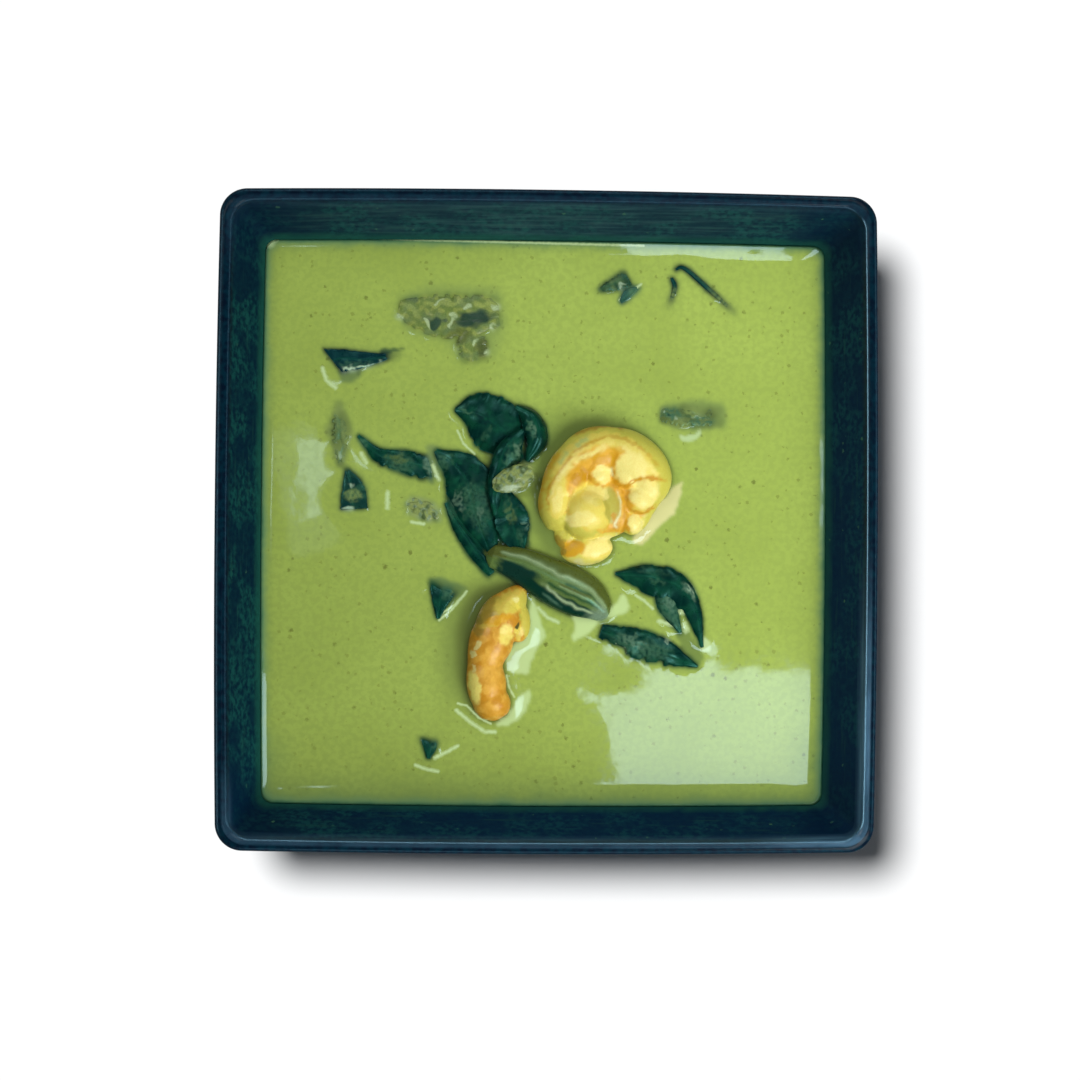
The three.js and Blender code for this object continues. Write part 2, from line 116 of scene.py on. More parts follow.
def new_piece(name, points, quads, triangles=()):
    """A closed, smooth-shaded mesh object from points in millimetres, its faces turned outwards."""
    points = np.asarray(points, float).reshape(-1, 3)
    quads = np.asarray(quads, np.int32).reshape(-1, 4)
    triangles = np.asarray(triangles, np.int32).reshape(-1, 3)
    if signed_volume(points, quads, triangles) < 0:
        quads, triangles = quads[:, ::-1], triangles[:, ::-1]
    mesh = bpy.data.meshes.new(name)
    corners = np.concatenate([quads.ravel(), triangles.ravel()])
    starts = np.concatenate([4 * np.arange(len(quads)), 4 * len(quads) + 3 * np.arange(len(triangles))])
    mesh.vertices.add(len(points))
    mesh.loops.add(len(corners))
    mesh.polygons.add(len(starts))
    mesh.vertices.foreach_set("co", (points * MM).astype(np.float32).ravel())
    mesh.loops.foreach_set("vertex_index", corners.astype(np.int32))
    mesh.polygons.foreach_set("loop_start", starts.astype(np.int32))
    mesh.update(calc_edges=True)
    mesh.shade_smooth()
    piece = bpy.data.objects.new(name, mesh)
    bpy.context.scene.collection.objects.link(piece)
    return piece


def points_of(piece):
    """The piece's vertices in millimetres, as an array of rows."""
    co = np.empty(3 * len(piece.data.vertices), np.float32)
    piece.data.vertices.foreach_get("co", co)
    return co.reshape(-1, 3).astype(float) / MM


def keep(piece, label, values):
    """Stores one number or one colour for each vertex, for the material to read."""
    values = np.asarray(values, np.float32)
    kind = "FLOAT" if values.ndim == 1 else "FLOAT_COLOR"
    layer = piece.data.attributes.new(label, kind, "POINT")
    if kind == "FLOAT":
        layer.data.foreach_set("value", values)
    else:
        opaque = np.ones((len(values), 1), np.float32)
        layer.data.foreach_set("color", np.concatenate([values, opaque], 1).ravel())


def stand_for(piece, node, material):
    """The piece takes its material, rides on the body and is shown in place of its CAD node."""
    piece.data.materials.append(material)
    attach(piece, "root")
    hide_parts(node)
    print(f"{piece.name}: {len(piece.data.polygons)} faces")


# %% [markdown]
# ## Colours and soft masks
#
# Colours are given as they look on a screen, 0 to 255, and turned into the light values that Blender mixes.
# Most patches on the food are soft-edged ovals. Irregular edges come from a sum of cosine waves that run in
# random directions: it costs little, never repeats visibly, and a fixed seed gives the same result each time.

# %% Colour and mask helpers
WAVE_COUNT = 28


def rgb(*screen):
    """Screen values 0-255 as linear light: ((v + 0.055) / 1.055) to the power 2.4, or v / 12.92 when dark."""
    v = np.array(screen, float) / 255
    return np.where(v > 0.04045, ((v + 0.055) / 1.055) ** 2.4, v / 12.92)


def step(low, high, x):
    """A smooth step from 0 at low to 1 at high: u squared times (3 - 2u), u being how far x has come."""
    u = np.clip((x - low) / (high - low), 0, 1)
    return u * u * (3 - 2 * u)


def waves(x, y, size, seed):
    """About -1 to 1: the sum of cosine waves in random directions, with lengths near size in millimetres."""
    draw = np.random.default_rng(seed)
    turn = draw.uniform(0, 2 * np.pi, WAVE_COUNT)
    number = 2 * np.pi / (size * draw.uniform(0.7, 1.6, WAVE_COUNT))
    start = draw.uniform(0, 2 * np.pi, WAVE_COUNT)
    total = np.zeros(np.shape(x))
    for a, k, p in zip(turn, number, start):
        total += np.cos(k * (np.cos(a) * x + np.sin(a) * y) + p)
    return total / math.sqrt(WAVE_COUNT)


def oval(x, y, centre, radii, turn=0.0, soft=0.3):
    """1 inside an oval turned by turn, 0 outside, with the edge blurred over a share of its radius."""
    dx, dy = x - centre[0], y - centre[1]
    c, s = math.cos(turn), math.sin(turn)
    away = np.hypot((c * dx + s * dy) / radii[0], (c * dy - s * dx) / radii[1])
    return 1 - step(1 - soft, 1 + soft, away)


def blend(below, above, amount):
    """Mixes two colours, or two arrays of colours, by one amount or an amount for each vertex."""
    return below + (above - below) * np.asarray(amount)[..., None]


def paint_ovals(tint, x, y, marks, soft):
    """Lays soft-edged ovals (colour, amount, centre, radii, turn) over a tint, one after another."""
    for colour, amount, centre, radii, turn in marks:
        tint = blend(tint, colour, amount * oval(x, y, centre, radii, turn, soft))
    return tint


# %% [markdown]
# ## Node helpers and shared groups
#
# A material is a tree of nodes. `put` adds one node, sets its inputs and links any socket it is given. Some
# effects are wanted in several materials, or many times in one, so each is a group built once: uneven
# colour, fine dark specks, the small dents that break up a wet highlight, and a soft streak between two
# points, which paints glints on the curry. All read Object coordinates, so they stay where they are.

# %% Node helpers
def put(tree, kind, inputs=None, **settings):
    """Adds a node, makes its settings, then sets each named input or links it to the socket given."""
    node = tree.nodes.new(kind)
    for key, value in settings.items():
        setattr(node, key, value)
    for key, value in (inputs or {}).items():
        if isinstance(value, bpy.types.NodeSocket):
            tree.links.new(value, node.inputs[key])
        else:
            node.inputs[key].default_value = value
    return node


def new_group(name, ins, outs):
    """An empty node group: ins are (name, value) and outs are names; every socket carries a number."""
    tree = bpy.data.node_groups.new(name, "ShaderNodeTree")
    for label, value in ins:
        tree.interface.new_socket(label, in_out="INPUT", socket_type="NodeSocketFloat").default_value = value
    for label in outs:
        tree.interface.new_socket(label, in_out="OUTPUT", socket_type="NodeSocketFloat")
    return tree, tree.nodes.new("NodeGroupInput").outputs, tree.nodes.new("NodeGroupOutput")


def join(tree, output, results):
    """Links each result to the group's output of that name."""
    for label, socket in results.items():
        tree.links.new(socket, output.inputs[label])


def colour_mix(tree, factor, first, second, mode="MIX"):
    """A colour mix node's result; either colour may be a socket or linear light values."""
    node = tree.nodes.new("ShaderNodeMix")
    node.data_type = "RGBA"
    node.blend_type = mode
    for index, value in ((0, factor), (6, first), (7, second)):
        if isinstance(value, bpy.types.NodeSocket):
            tree.links.new(value, node.inputs[index])
        elif index:
            node.inputs[index].default_value = (*value, 1)
        else:
            node.inputs[index].default_value = value
    return node.outputs[2]


def spread(tree, value, low, high, to_low=0.0, to_high=1.0):
    """Stretches a value from one range to another and holds it there."""
    ranges = {"From Min": low, "From Max": high, "To Min": to_low, "To Max": to_high}
    return put(tree, "ShaderNodeMapRange", {"Value": value, **ranges}).outputs["Result"]


def lay_colour(tree, below, colour, share, low, high, amount):
    """Lays a colour over another: none of it where the share is low, and the amount where it is high."""
    return colour_mix(tree, spread(tree, share, low, high, 0.0, amount), below, colour)


# %% Helpers for single nodes
def reckon(tree, operation, *values, **settings):
    """The result of one sum on numbers or sockets, such as ADD or DIVIDE."""
    return put(tree, "ShaderNodeMath", dict(enumerate(values)), operation=operation, **settings).outputs[0]


def reckon_places(tree, operation, *values):
    """The same for places. SCALE has a socket of its own for its factor, and two sums give a number."""
    keys = (0, "Scale") if operation == "SCALE" else (0, 1)
    node = put(tree, "ShaderNodeVectorMath", dict(zip(keys, values)), operation=operation)
    return node.outputs["Value" if operation in ("DOT_PRODUCT", "DISTANCE") else "Vector"]


def per_metre(tree, millimetres):
    """How many steps of a length fit in a metre: 1000 divided by it."""
    return reckon(tree, "DIVIDE", 1000.0, millimetres)


def cloud(tree, place, scale, detail, output="Fac"):
    """Soft noise at a place: scale is how many swells fit in a unit of length, detail adds finer ones."""
    node = put(tree, "ShaderNodeTexNoise", {"Vector": place, "Scale": scale, "Detail": detail})
    return node.outputs[output]


def place_group(tree, group, inputs):
    """Adds a group's node, whose inputs exist once its tree is set, and gives its outputs."""
    return put(tree, "ShaderNodeGroup", inputs, node_tree=group).outputs


def kept_value(tree, label, output="Fac"):
    """What `keep` stored on the piece: a number, or a colour or place if that output is asked for."""
    return put(tree, "ShaderNodeAttribute", attribute_name=label).outputs[output]


# %% Group: mottle
tree, given, result = new_group("mottle", [("Size", 4.0), ("Contrast", 1.0)], ["Broad", "Fine"])
place = put(tree, "ShaderNodeTexCoord").outputs["Object"]
frequency = per_metre(tree, given["Size"])
finer = reckon(tree, "MULTIPLY", frequency, 5.3)
noises = {"Broad": cloud(tree, place, frequency, 3.0), "Fine": cloud(tree, place, finer, 2.0)}
sharp = {}
for label, noise in noises.items():
    centred = reckon(tree, "SUBTRACT", noise, 0.5)
    stretched = reckon(tree, "MULTIPLY", centred, given["Contrast"])
    sharp[label] = reckon(tree, "ADD", stretched, 0.5, use_clamp=True)
join(tree, result, sharp)
mottle_group = tree

# %% Group: specks
tree, given, result = new_group("specks", [("Spacing", 3.0), ("Radius", 0.1), ("Share", 0.5)], ["Mask"])
place = put(tree, "ShaderNodeTexCoord").outputs["Object"]
bend = cloud(tree, place, 2600.0, 2.0, "Color")
shift = reckon_places(tree, "SUBTRACT", bend, (0.5, 0.5, 0.5))
torn = reckon_places(tree, "ADD", place, reckon_places(tree, "SCALE", shift, 0.0011))
cell = put(tree, "ShaderNodeTexVoronoi", {"Vector": torn, "Scale": per_metre(tree, given["Spacing"]),
                                          "Randomness": 1.0})
luck = put(tree, "ShaderNodeSeparateColor", {0: cell.outputs["Color"]}).outputs
reach = reckon(tree, "MULTIPLY", luck["Green"], given["Radius"])
edge = reckon(tree, "SUBTRACT", cell.outputs["Distance"], reach)
chosen = reckon(tree, "LESS_THAN", luck["Red"], given["Share"])
mask = reckon(tree, "MULTIPLY", spread(tree, edge, 0.05, -0.04), chosen)
join(tree, result, {"Mask": reckon(tree, "MULTIPLY", mask, luck["Blue"])})
specks_group = tree

# %% Group: wet dents
tree, given, result = new_group("wet_dents", [("Size", 1.5), ("Grain", 0.3)], ["Height"])
place = put(tree, "ShaderNodeTexCoord").outputs["Object"]
frequency = per_metre(tree, given["Size"])
swell = cloud(tree, place, frequency, 1.0)
grain = cloud(tree, place, reckon(tree, "MULTIPLY", frequency, 4.7), 1.0)
join(tree, result, {"Height": reckon(tree, "MULTIPLY_ADD", grain, given["Grain"], swell)})
dents_group = tree

# %% Group: glint streak
ENDS = [("From X", 0.0), ("From Y", 0.0), ("To X", 1.0), ("To Y", 0.0)]
tree, given, result = new_group("glint_streak", ENDS + [("Width", 1.0)], ["Mask"])
place = put(tree, "ShaderNodeTexCoord").outputs["Object"]
in_mm = reckon_places(tree, "MULTIPLY", place, (1000.0, 1000.0, 0.0))
wobble = cloud(tree, in_mm, 1.1, 2.0)
first = put(tree, "ShaderNodeCombineXYZ", {"X": given["From X"], "Y": given["From Y"]}).outputs[0]
last = put(tree, "ShaderNodeCombineXYZ", {"X": given["To X"], "Y": given["To Y"]}).outputs[0]
run = reckon_places(tree, "SUBTRACT", last, first)
away = reckon_places(tree, "SUBTRACT", in_mm, first)
along = reckon_places(tree, "DOT_PRODUCT", away, run)
square = reckon_places(tree, "DOT_PRODUCT", run, run)
part = reckon(tree, "DIVIDE", along, square, use_clamp=True)
apart = reckon_places(tree, "DISTANCE", away, reckon_places(tree, "SCALE", run, part))
ratio = reckon(tree, "DIVIDE", apart, given["Width"])
ragged = reckon(tree, "MULTIPLY_ADD", wobble, 1.4, ratio)
join(tree, result, {"Mask": spread(tree, ragged, 2.2, 0.9)})
glint_group = tree
print("groups:", [group.name for group in bpy.data.node_groups])

# %% Material helpers
def new_material(name):
    """A material with an empty tree but for its Principled shader and output."""
    material = bpy.data.materials.new(name)
    material.use_nodes = True
    return material, material.node_tree, material.node_tree.nodes["Principled BSDF"]


def finish_with(tree, shader, colour, roughness, height=None, depth=0.1, **constants):
    """Feeds colour, roughness and a bump of a depth in millimetres. The constants go on the shader's own
    sockets, so that an export keeps them."""
    tree.links.new(colour, shader.inputs["Base Color"])
    if isinstance(roughness, bpy.types.NodeSocket):
        tree.links.new(roughness, shader.inputs["Roughness"])
    else:
        shader.inputs["Roughness"].default_value = roughness
    if height is not None:
        bump = put(tree, "ShaderNodeBump", {"Height": height, "Distance": depth * MM, "Strength": 1.0})
        tree.links.new(bump.outputs["Normal"], shader.inputs["Normal"])
    for key, value in constants.items():
        shader.inputs[key.replace("_", " ").title().replace("Ior", "IOR")].default_value = value


def food_finish(name, mottle, dents, shade, gloss, depth, ior):
    """A wet finish for pieces that keep a tint. Mottle is (size, contrast) and dents are (size, grain). Fine
    mottle darkens the tint towards the shade; broad mottle moves the roughness between the two of gloss."""
    material, tree, shader = new_material(name)
    tint = kept_value(tree, "tint", "Color")
    spots = place_group(tree, mottle_group, {"Size": mottle[0], "Contrast": mottle[1]})
    dimples = place_group(tree, dents_group, {"Size": dents[0], "Grain": dents[1]})
    shading = colour_mix(tree, spots["Fine"], shade, rgb(255, 255, 255))
    colour = colour_mix(tree, 1.0, tint, shading, "MULTIPLY")
    roughness = spread(tree, spots["Broad"], 0.2, 0.8, *gloss)
    finish_with(tree, shader, colour, roughness, dimples["Height"], depth, ior=ior)
    return material, shader


# %% [markdown]
# ## The bowl
#
# The real bowl is glazed stoneware: a dark teal glaze, matt and flecked on the sloping walls and glossy on
# the rounded lip. A profile from the middle of the underside, over the lip and back to the middle of the
# well is carried round a rounded square. That is one surface of two parameters, so the lip's small rounding
# can be as fine as wanted.

# %% Rounded square
SIDE_BULGE = 0.7
SIDE_SHARE = 0.93  # how far towards a corner a side reaches before it turns
BOWL_HALF = 85.0
BOWL_HEIGHT = 50.0


def outline(p, half, corner, bend=SIDE_SHARE):
    """Point on a square with round corners. p runs from 0 to 4 round it and is whole mid-side. Up to bend of
    the way to a corner the distance out is half - swell * part squared; from there it turns evenly by 45
    degrees round the corner's circle."""
    side = np.round(p)
    q = 2 * (p - side)
    part = np.minimum(1, np.abs(q) / bend)
    angle = np.pi / 4 * np.clip((np.abs(q) - bend) / (1 - bend), 0, 1)
    swell = SIDE_BULGE * np.minimum(1, half / BOWL_HALF)
    straight = half - swell - corner
    on_side = np.abs(q) <= bend
    out = np.where(on_side, half - swell * part**2, straight + corner * np.cos(angle))
    along = np.sign(q) * np.where(on_side, straight * part, straight + corner * np.sin(angle))
    c, s = np.round(np.cos(side * np.pi / 2)), np.round(np.sin(side * np.pi / 2))
    return out * c - along * s, out * s + along * c


# %% Inside of the well
LIP_INSET = 2.8
WALL_LEAN = 0.52  # how far the wall comes in for each millimetre down from the lip
WALL_THICKNESS = 3.4  # measured level
WELL_FLOOR = 5.0
WELL_ROUND = 6.0  # radius between wall and floor


def well_half(z):
    """Half the inside width at a height: the lip's, less WALL_LEAN times the way down from the lip."""
    return BOWL_HALF - LIP_INSET - WALL_LEAN * (BOWL_HEIGHT - z)


# %% Bowl profile
def arc(centre, radius, start, end, count):
    """Points round an arc from start to end degrees, as (half, height) rows."""
    angle = np.radians(np.linspace(start, end, count))
    return np.stack([centre[0] + radius * np.cos(angle), centre[1] + radius * np.sin(angle)], 1)


def bowl_profile():
    """Rows of (half side, height, corner radius, share of lip) from the underside to the well's floor."""
    lean = math.degrees(math.atan2(1, WALL_LEAN))
    turn_in = math.tan(math.radians(lean / 2))
    round_middle = (well_half(WELL_FLOOR) - WELL_ROUND * turn_in, WELL_FLOOR + WELL_ROUND)
    outside, inside = np.linspace(9, 42, 9), np.linspace(47.6, 11, 24)
    rows = [
        ([[40, 1.25], [50, 1.25], [52, 1.2]], 4, 0),
        (arc((53.6, 1.1), 1.1, 180, 270, 4), 4.5, 0),
        (arc((57.0, 1.0), 1.0, 270, 360, 4), 9, 0),
        ([[58.3, 1.6], [59.2, 2.2], [60.6, 2.6]], 9, 0),
        ([[61.6, 5.6], [62.4, 7.2]], 7.5, 0),
        (np.stack([well_half(outside) + WALL_THICKNESS, outside], 1), 7.5, 0),
        ([[well_half(44.4) + WALL_THICKNESS, 44.4], [83.6, 45.2], [84.3, 45.9], [84.75, 46.6]], 7.5, 0.5),
        ([[85, 47.4], [85, 48.4]], 7.5, 1),
        (arc((83.5, 48.5), 1.5, 0, 84, 9), 7.0, 1),
        (arc((82.2 + 1.7 * turn_in, 48.3), 1.7, 90, 90 + lean, 11), 5.6, 1),
        ([[well_half(48.3), 48.3]], 4.6, 0.5),
        (np.stack([well_half(inside), inside], 1), 3.2, 0),
        (arc(round_middle, WELL_ROUND, lean - 90, -90, 7), 3.0, 0),
        ([[30, WELL_FLOOR]], 2.6, 0),
    ]
    parts = [np.column_stack([np.asarray(p, float), np.full((len(p), 2), (corner, lip), float)])
             for p, corner, lip in rows]
    return np.concatenate(parts)


profile = bowl_profile()
print("bowl profile rows:", len(profile), "widest half", profile[:, 0].max(), "highest", profile[:, 1].max())

# %% Bowl mesh
def ring_steps(straight_steps, corner_steps):
    """Values of p round the square, spaced closer round its corners."""
    straight = np.linspace(0, SIDE_SHARE, straight_steps + 1)
    round_corner = np.linspace(SIDE_SHARE, 1, corner_steps + 1)[1:]
    half_side = np.concatenate([straight, round_corner])
    q = np.concatenate([-half_side[:0:-1], half_side[:-1]])
    return (np.arange(4)[:, None] + q / 2).ravel() % 4


def square_lathe(profile, p):
    """Each profile row becomes a ring: outline(p, half, corner) at the row's height. Both ends are closed
    with a point in the middle."""
    x, y = outline(p[None, :], profile[:, :1], profile[:, 2:3])
    z = np.broadcast_to(profile[:, 1:2], x.shape)
    points = np.stack([x, y, z], -1).reshape(-1, 3)
    rows, columns = x.shape
    middle = [[0, 0, profile[0, 1]], [0, 0, profile[-1, 1]]]
    ring = np.arange(columns)
    after = (ring + 1) % columns
    first, last = rows * columns, rows * columns + 1
    low = np.stack([np.full(columns, first), after, ring], 1)
    high = np.stack([np.full(columns, last), ring + (rows - 1) * columns, after + (rows - 1) * columns], 1)
    return np.concatenate([points, middle]), grid_faces(rows, columns, ring=True), np.concatenate([low, high])


points, quads, triangles = square_lathe(profile, ring_steps(26, 12))
bowl = new_piece("glazed_bowl", points, quads, triangles)
print("bowl points:", len(points))

# %% [markdown]
# ## The glaze
#
# Stoneware glaze runs and speckles, so one flat colour looks like plastic. Each vertex of the bowl keeps a
# few soft shares, worked out from its profile row and its place: how much it is lip, how wet it is just
# above the curry, how near it is to a corner of the square, and so on. The glaze mixes its blues and greens
# by these shares and by the shared groups, and it is darker near the corners. Some shares carry painted
# light: a painted sheen on the far wall, painted shade that turns the right and near walls a darker navy,
# and a milky line on the lip's inner edge that is partly thinner glaze and partly a painted highlight,
# strongest at the lower right. Only the lip has a glossy coat.

# %% Where the glaze changes
def all_round(row_values, low_end=0, high_end=0):
    """Every point of a ring takes its profile row's value. The two middle points come last."""
    return np.append(np.repeat(row_values, (len(points) - 2) // len(profile)), [low_end, high_end])


x, y, z = points.T
half, height, _, lip = profile.T
polish = all_round(lip * step(84.7, 83.6, half) * step(47.5, 48.4, height))
inner_edge = all_round(step(83.7, 82.9, half) * step(47.0, 48.0, height))
in_well = all_round(np.arange(len(profile)) > height.argmax(), False, True)
# Where the lip's inner edge turns milky: thinner glaze, and a painted highlight strongest at the lower right,
# where most of the light falls.
thin_right = step(0, -50, y) * step(50, 72, x)
thin_low = 0.35 * step(-60, -78, y) * step(72, 50, x)
thin_top = 0.12 * step(60, 78, y)
splash = 0.35 * waves(x, y, 7, 11) + 0.2 * waves(x, y, 2, 12)
along_wall = np.where(np.abs(x) > np.abs(y), y + 200, x)
keep(bowl, "lip", all_round(lip))
keep(bowl, "polish", polish * (1 - 0.7 * step(-40, 40, y - x)))
# The milky lip edge: thinner glaze and a painted highlight.
keep(bowl, "thin", inner_edge * (thin_right + thin_low + thin_top) * (in_well | (polish > 0)))
# A wet film of curry on the wall just above its line.
keep(bowl, "wet_film_and_glint", step(LEVEL + 3.6, LEVEL + 0.4, z + splash) * in_well)
# Painted sheen: the far wall is made lighter, as if it mirrored the light.
keep(bowl, "far_wall_sheen", step(30, 80, y - np.abs(x) * 0.4) * in_well)
# Outside the well, a bluer navy all over; inside, painted shade darkens the right and near walls, which face
# away from the light.
keep(bowl, "navy_and_shade", np.where(in_well, step(-50, 90, x - y), 1.0))
keep(bowl, "grain_way", np.column_stack([along_wall, z, np.zeros(len(points))]) * MM)
keep(bowl, "corner", step(58, 74, np.minimum(np.abs(x), np.abs(y))))
print("share of the bowl that is lip:", round(float(all_round(lip).mean()), 3))

# %% Glaze colours
glaze, tree, shader = new_material("teal_glaze")
SHARES = ("lip", "wet_film_and_glint", "corner", "polish", "far_wall_sheen", "thin", "navy_and_shade")
share = {label: kept_value(tree, label) for label in SHARES}
grain_way = kept_value(tree, "grain_way", "Vector")
long_way = put(tree, "ShaderNodeMapping", {"Vector": grain_way, "Scale": (60.0, 800.0, 1.0)})
streaks = cloud(tree, long_way.outputs["Vector"], 1.0, 4.0)
blotches = place_group(tree, mottle_group, {"Size": 1.5, "Contrast": 4.0})
patches = place_group(tree, mottle_group, {"Size": 11.0, "Contrast": 3.4})
fleck = place_group(tree, specks_group, {"Spacing": 3.2, "Radius": 0.16, "Share": 0.3})
# Painted sheen on the far wall, broken up by the glaze's streaks.
streaky_sheen = reckon(tree, "MULTIPLY", spread(tree, streaks, 0.42, 0.66, 0.35, 1.0), share["far_wall_sheen"])
milky_sheen = reckon(tree, "MULTIPLY", share["thin"], spread(tree, streaks, 0.3, 0.6, 0.35, 1.0))
colour = colour_mix(tree, blotches["Broad"], rgb(0, 30, 44), rgb(14, 66, 64))
colour = lay_colour(tree, colour, rgb(0, 26, 44), patches["Broad"], 0.3, 0.75, 0.8)
# Painted shade on the right and near walls, and the bluer navy outside the well.
colour = lay_colour(tree, colour, rgb(0, 38, 76), share["navy_and_shade"], 0.0, 1.0, 0.45)
colour = lay_colour(tree, colour, rgb(56, 90, 92), streaky_sheen, 0.0, 1.0, 0.6)
colour = lay_colour(tree, colour, rgb(34, 78, 62), streaks, 0.58, 0.72, 0.25)
colour = lay_colour(tree, colour, rgb(0, 22, 46), share["corner"], 0.0, 1.0, 0.6)
colour = lay_colour(tree, colour, rgb(62, 104, 76), fleck["Mask"], 0.0, 0.8, 0.7)
lip_colour = colour_mix(tree, blotches["Broad"], rgb(0, 14, 32), rgb(0, 34, 48))
colour = colour_mix(tree, share["lip"], colour, lip_colour)
# The lip's milky inner edge: thinner glaze and a painted highlight.
colour = colour_mix(tree, milky_sheen, colour, rgb(70, 104, 128))
colour = lay_colour(tree, colour, rgb(26, 78, 64), share["wet_film_and_glint"], 0.0, 1.0, 0.85)

# %% Glaze gloss
roughness = spread(tree, share["lip"], 0.0, 1.0, 0.62, 0.45)
dents = place_group(tree, dents_group, {"Size": 1.2, "Grain": 0.5})
finish_with(tree, shader, colour, roughness, dents["Height"], 0.03, ior=1.08, coat_roughness=0.18,
            coat_ior=1.34)
tree.links.new(spread(tree, share["polish"], 0.0, 1.0, 0.0, 0.4), shader.inputs["Coat Weight"])
stand_for(bowl, "bowl", glaze)

# %% [markdown]
# ## Paths
#
# Leaves, the pod and the prawns all follow a path: a few points that a smooth cubic runs through. The same
# cubic carries the widths and radii along the path, so a shape is a handful of numbers.

# %% Smooth paths
def through(values, s):
    """A cubic through evenly spaced values (Catmull-Rom): between b and c, with neighbours a and d, it is
    b + t/2 * (c - a + t * (2a - 5b + 4c - d + t * (3(b - c) + d - a)))."""
    v = np.asarray(values, float)
    position = np.clip(s, 0, 1) * (len(v) - 1)
    i = np.minimum(np.floor(position).astype(int), len(v) - 2)
    padded = np.concatenate([[2 * v[0] - v[1]], v, [2 * v[-1] - v[-2]]])
    a, b, c, d = (padded[i + k] for k in range(4))
    t = position - i
    t = t[..., None] if v.ndim == 2 else t
    return b + 0.5 * t * (c - a + t * (2 * a - 5 * b + 4 * c - d + t * (3 * (b - c) + d - a)))


def frame_at(path, s):
    """Point of the path above the curry's level, its direction, and the level direction to its left."""
    point = through(path, s) + [0, 0, LEVEL]
    along = through(path, np.minimum(1, s + 0.01)) - through(path, np.maximum(0, s - 0.01))
    along /= np.linalg.norm(along, axis=-1, keepdims=True)
    left = np.stack([-along[..., 1], along[..., 0], np.zeros(np.shape(s))], -1)
    left /= np.linalg.norm(left, axis=-1, keepdims=True)
    return point, along, left


# %% [markdown]
# ## What lies just under the surface
#
# The curry is cloudy: a leaf a millimetre down is a dull olive shape, and deeper ones can't be seen. So each
# piece leaves its highest points and its colour on a fine map of the surface, and the curry reads that map
# when it is made, last of all. What is wholly sunk, the painted shadows beside the prawns and the painted
# reflections beside the pieces need no mesh: each is an outline that `area` fills on the same map and
# `lay_over` lays over what is there.

# %% Map of the tops
CELL = 0.25
CELLS = 608
SEEN_DEPTH = 0.45  # how far down a shape fades, in millimetres
tops = np.full((CELLS, CELLS), -99.0)
top_colour = np.zeros((CELLS, CELLS, 3))


def mark_tops(points, colours):
    """Each cell keeps the highest point that falls on it or beside it, and that point's colour."""
    order = np.argsort(points[:, 2])
    points, colours = points[order], np.broadcast_to(colours, points.shape)[order]
    column = np.clip(np.round(points[:, 0] / CELL + CELLS / 2), 1, CELLS - 2).astype(int)
    row = np.clip(np.round(points[:, 1] / CELL + CELLS / 2), 1, CELLS - 2).astype(int)
    height = points[:, 2] - LEVEL
    for down in (-1, 0, 1):
        for across in (-1, 0, 1):
            r, c = row + down, column + across
            higher = height > tops[r, c]
            tops[r[higher], c[higher]] = height[higher]
            top_colour[r[higher], c[higher]] = colours[higher]


def soften(image, radius):
    """Blurs a map by a bell curve of that radius in cells: the product of the two Fourier transforms."""
    k = np.fft.fftfreq(CELLS)
    bell = np.exp(-2 * (np.pi * radius) ** 2 * (k[:, None] ** 2 + k[None, :] ** 2))
    if image.ndim == 3:
        bell = bell[..., None]
    return np.real(np.fft.ifft2(np.fft.fft2(image, axes=(0, 1)) * bell, axes=(0, 1)))


def read_map(image, x, y):
    """The map's value at places in millimetres, blended from the four cells round each."""
    u = np.clip(x / CELL + CELLS / 2, 0, CELLS - 1.001)
    v = np.clip(y / CELL + CELLS / 2, 0, CELLS - 1.001)
    c, r = np.floor(u).astype(int), np.floor(v).astype(int)
    fu, fv = u - c, v - r
    if image.ndim == 3:
        fu, fv = fu[..., None], fv[..., None]
    low = image[r, c] * (1 - fu) + image[r, c + 1] * fu
    high = image[r + 1, c] * (1 - fu) + image[r + 1, c + 1] * fu
    return low * (1 - fv) + high * fv


# %% Outlines on the map
map_places = (np.arange(CELLS) - CELLS / 2) * CELL
map_x, map_y = np.meshgrid(map_places, map_places)
torn_x = map_x + 0.16 * waves(map_x, map_y, 2.6, 201)
torn_y = map_y + 0.16 * waves(map_x, map_y, 2.6, 202)


def area(corners, blur):
    """1 inside a closed outline with ragged edges, blurred by that many millimetres. A cell is inside if a
    line from it to the right crosses the outline an odd number of times."""
    inside = np.zeros((CELLS, CELLS), bool)
    for (ax, ay), (bx, by) in zip(corners, corners[1:] + corners[:1]):
        spans = (ay > torn_y) != (by > torn_y)
        inside ^= spans & (torn_x < ax + (torn_y - ay) * (bx - ax) / (by - ay if by != ay else 1))
    return np.clip(soften(inside.astype(float), blur / CELL), 0, 1)


def lay_over(film, colours, mask, colour):
    """Lays a see-through layer over a film. The new share is m + f * (1 - m), and the new colour the mean of
    the two by their shares."""
    share = mask + film * (1 - mask)
    above = mask[..., None] * colour
    below = (film * (1 - mask))[..., None] * colours
    return share, (above + below) / np.maximum(share, 1e-4)[..., None]


# %% [markdown]
# ## Leaves
#
# Cooked basil goes soft and dark, and lies wet on the curry with its edges curling. A leaf is one sheet: s
# runs along its spine and t across it. The sheet is arched, rippled, crumpled a little and grooved by its
# veins, then given a top and an underside that meet in a thin rim. Tears are bites out of the width. Marks
# are soft spots of another colour, placed by s and t: where a leaf is worn, pale or washed over by curry,
# and painted sheen and painted glints where a wet leaf would catch the light.

# %% Leaf colours
LEAF_DARK = rgb(0, 38, 32)
LEAF_GREEN = rgb(14, 70, 48)
NAVY = (rgb(0, 30, 40), rgb(10, 52, 54))
SOUPY = (rgb(98, 116, 62), rgb(128, 146, 82))
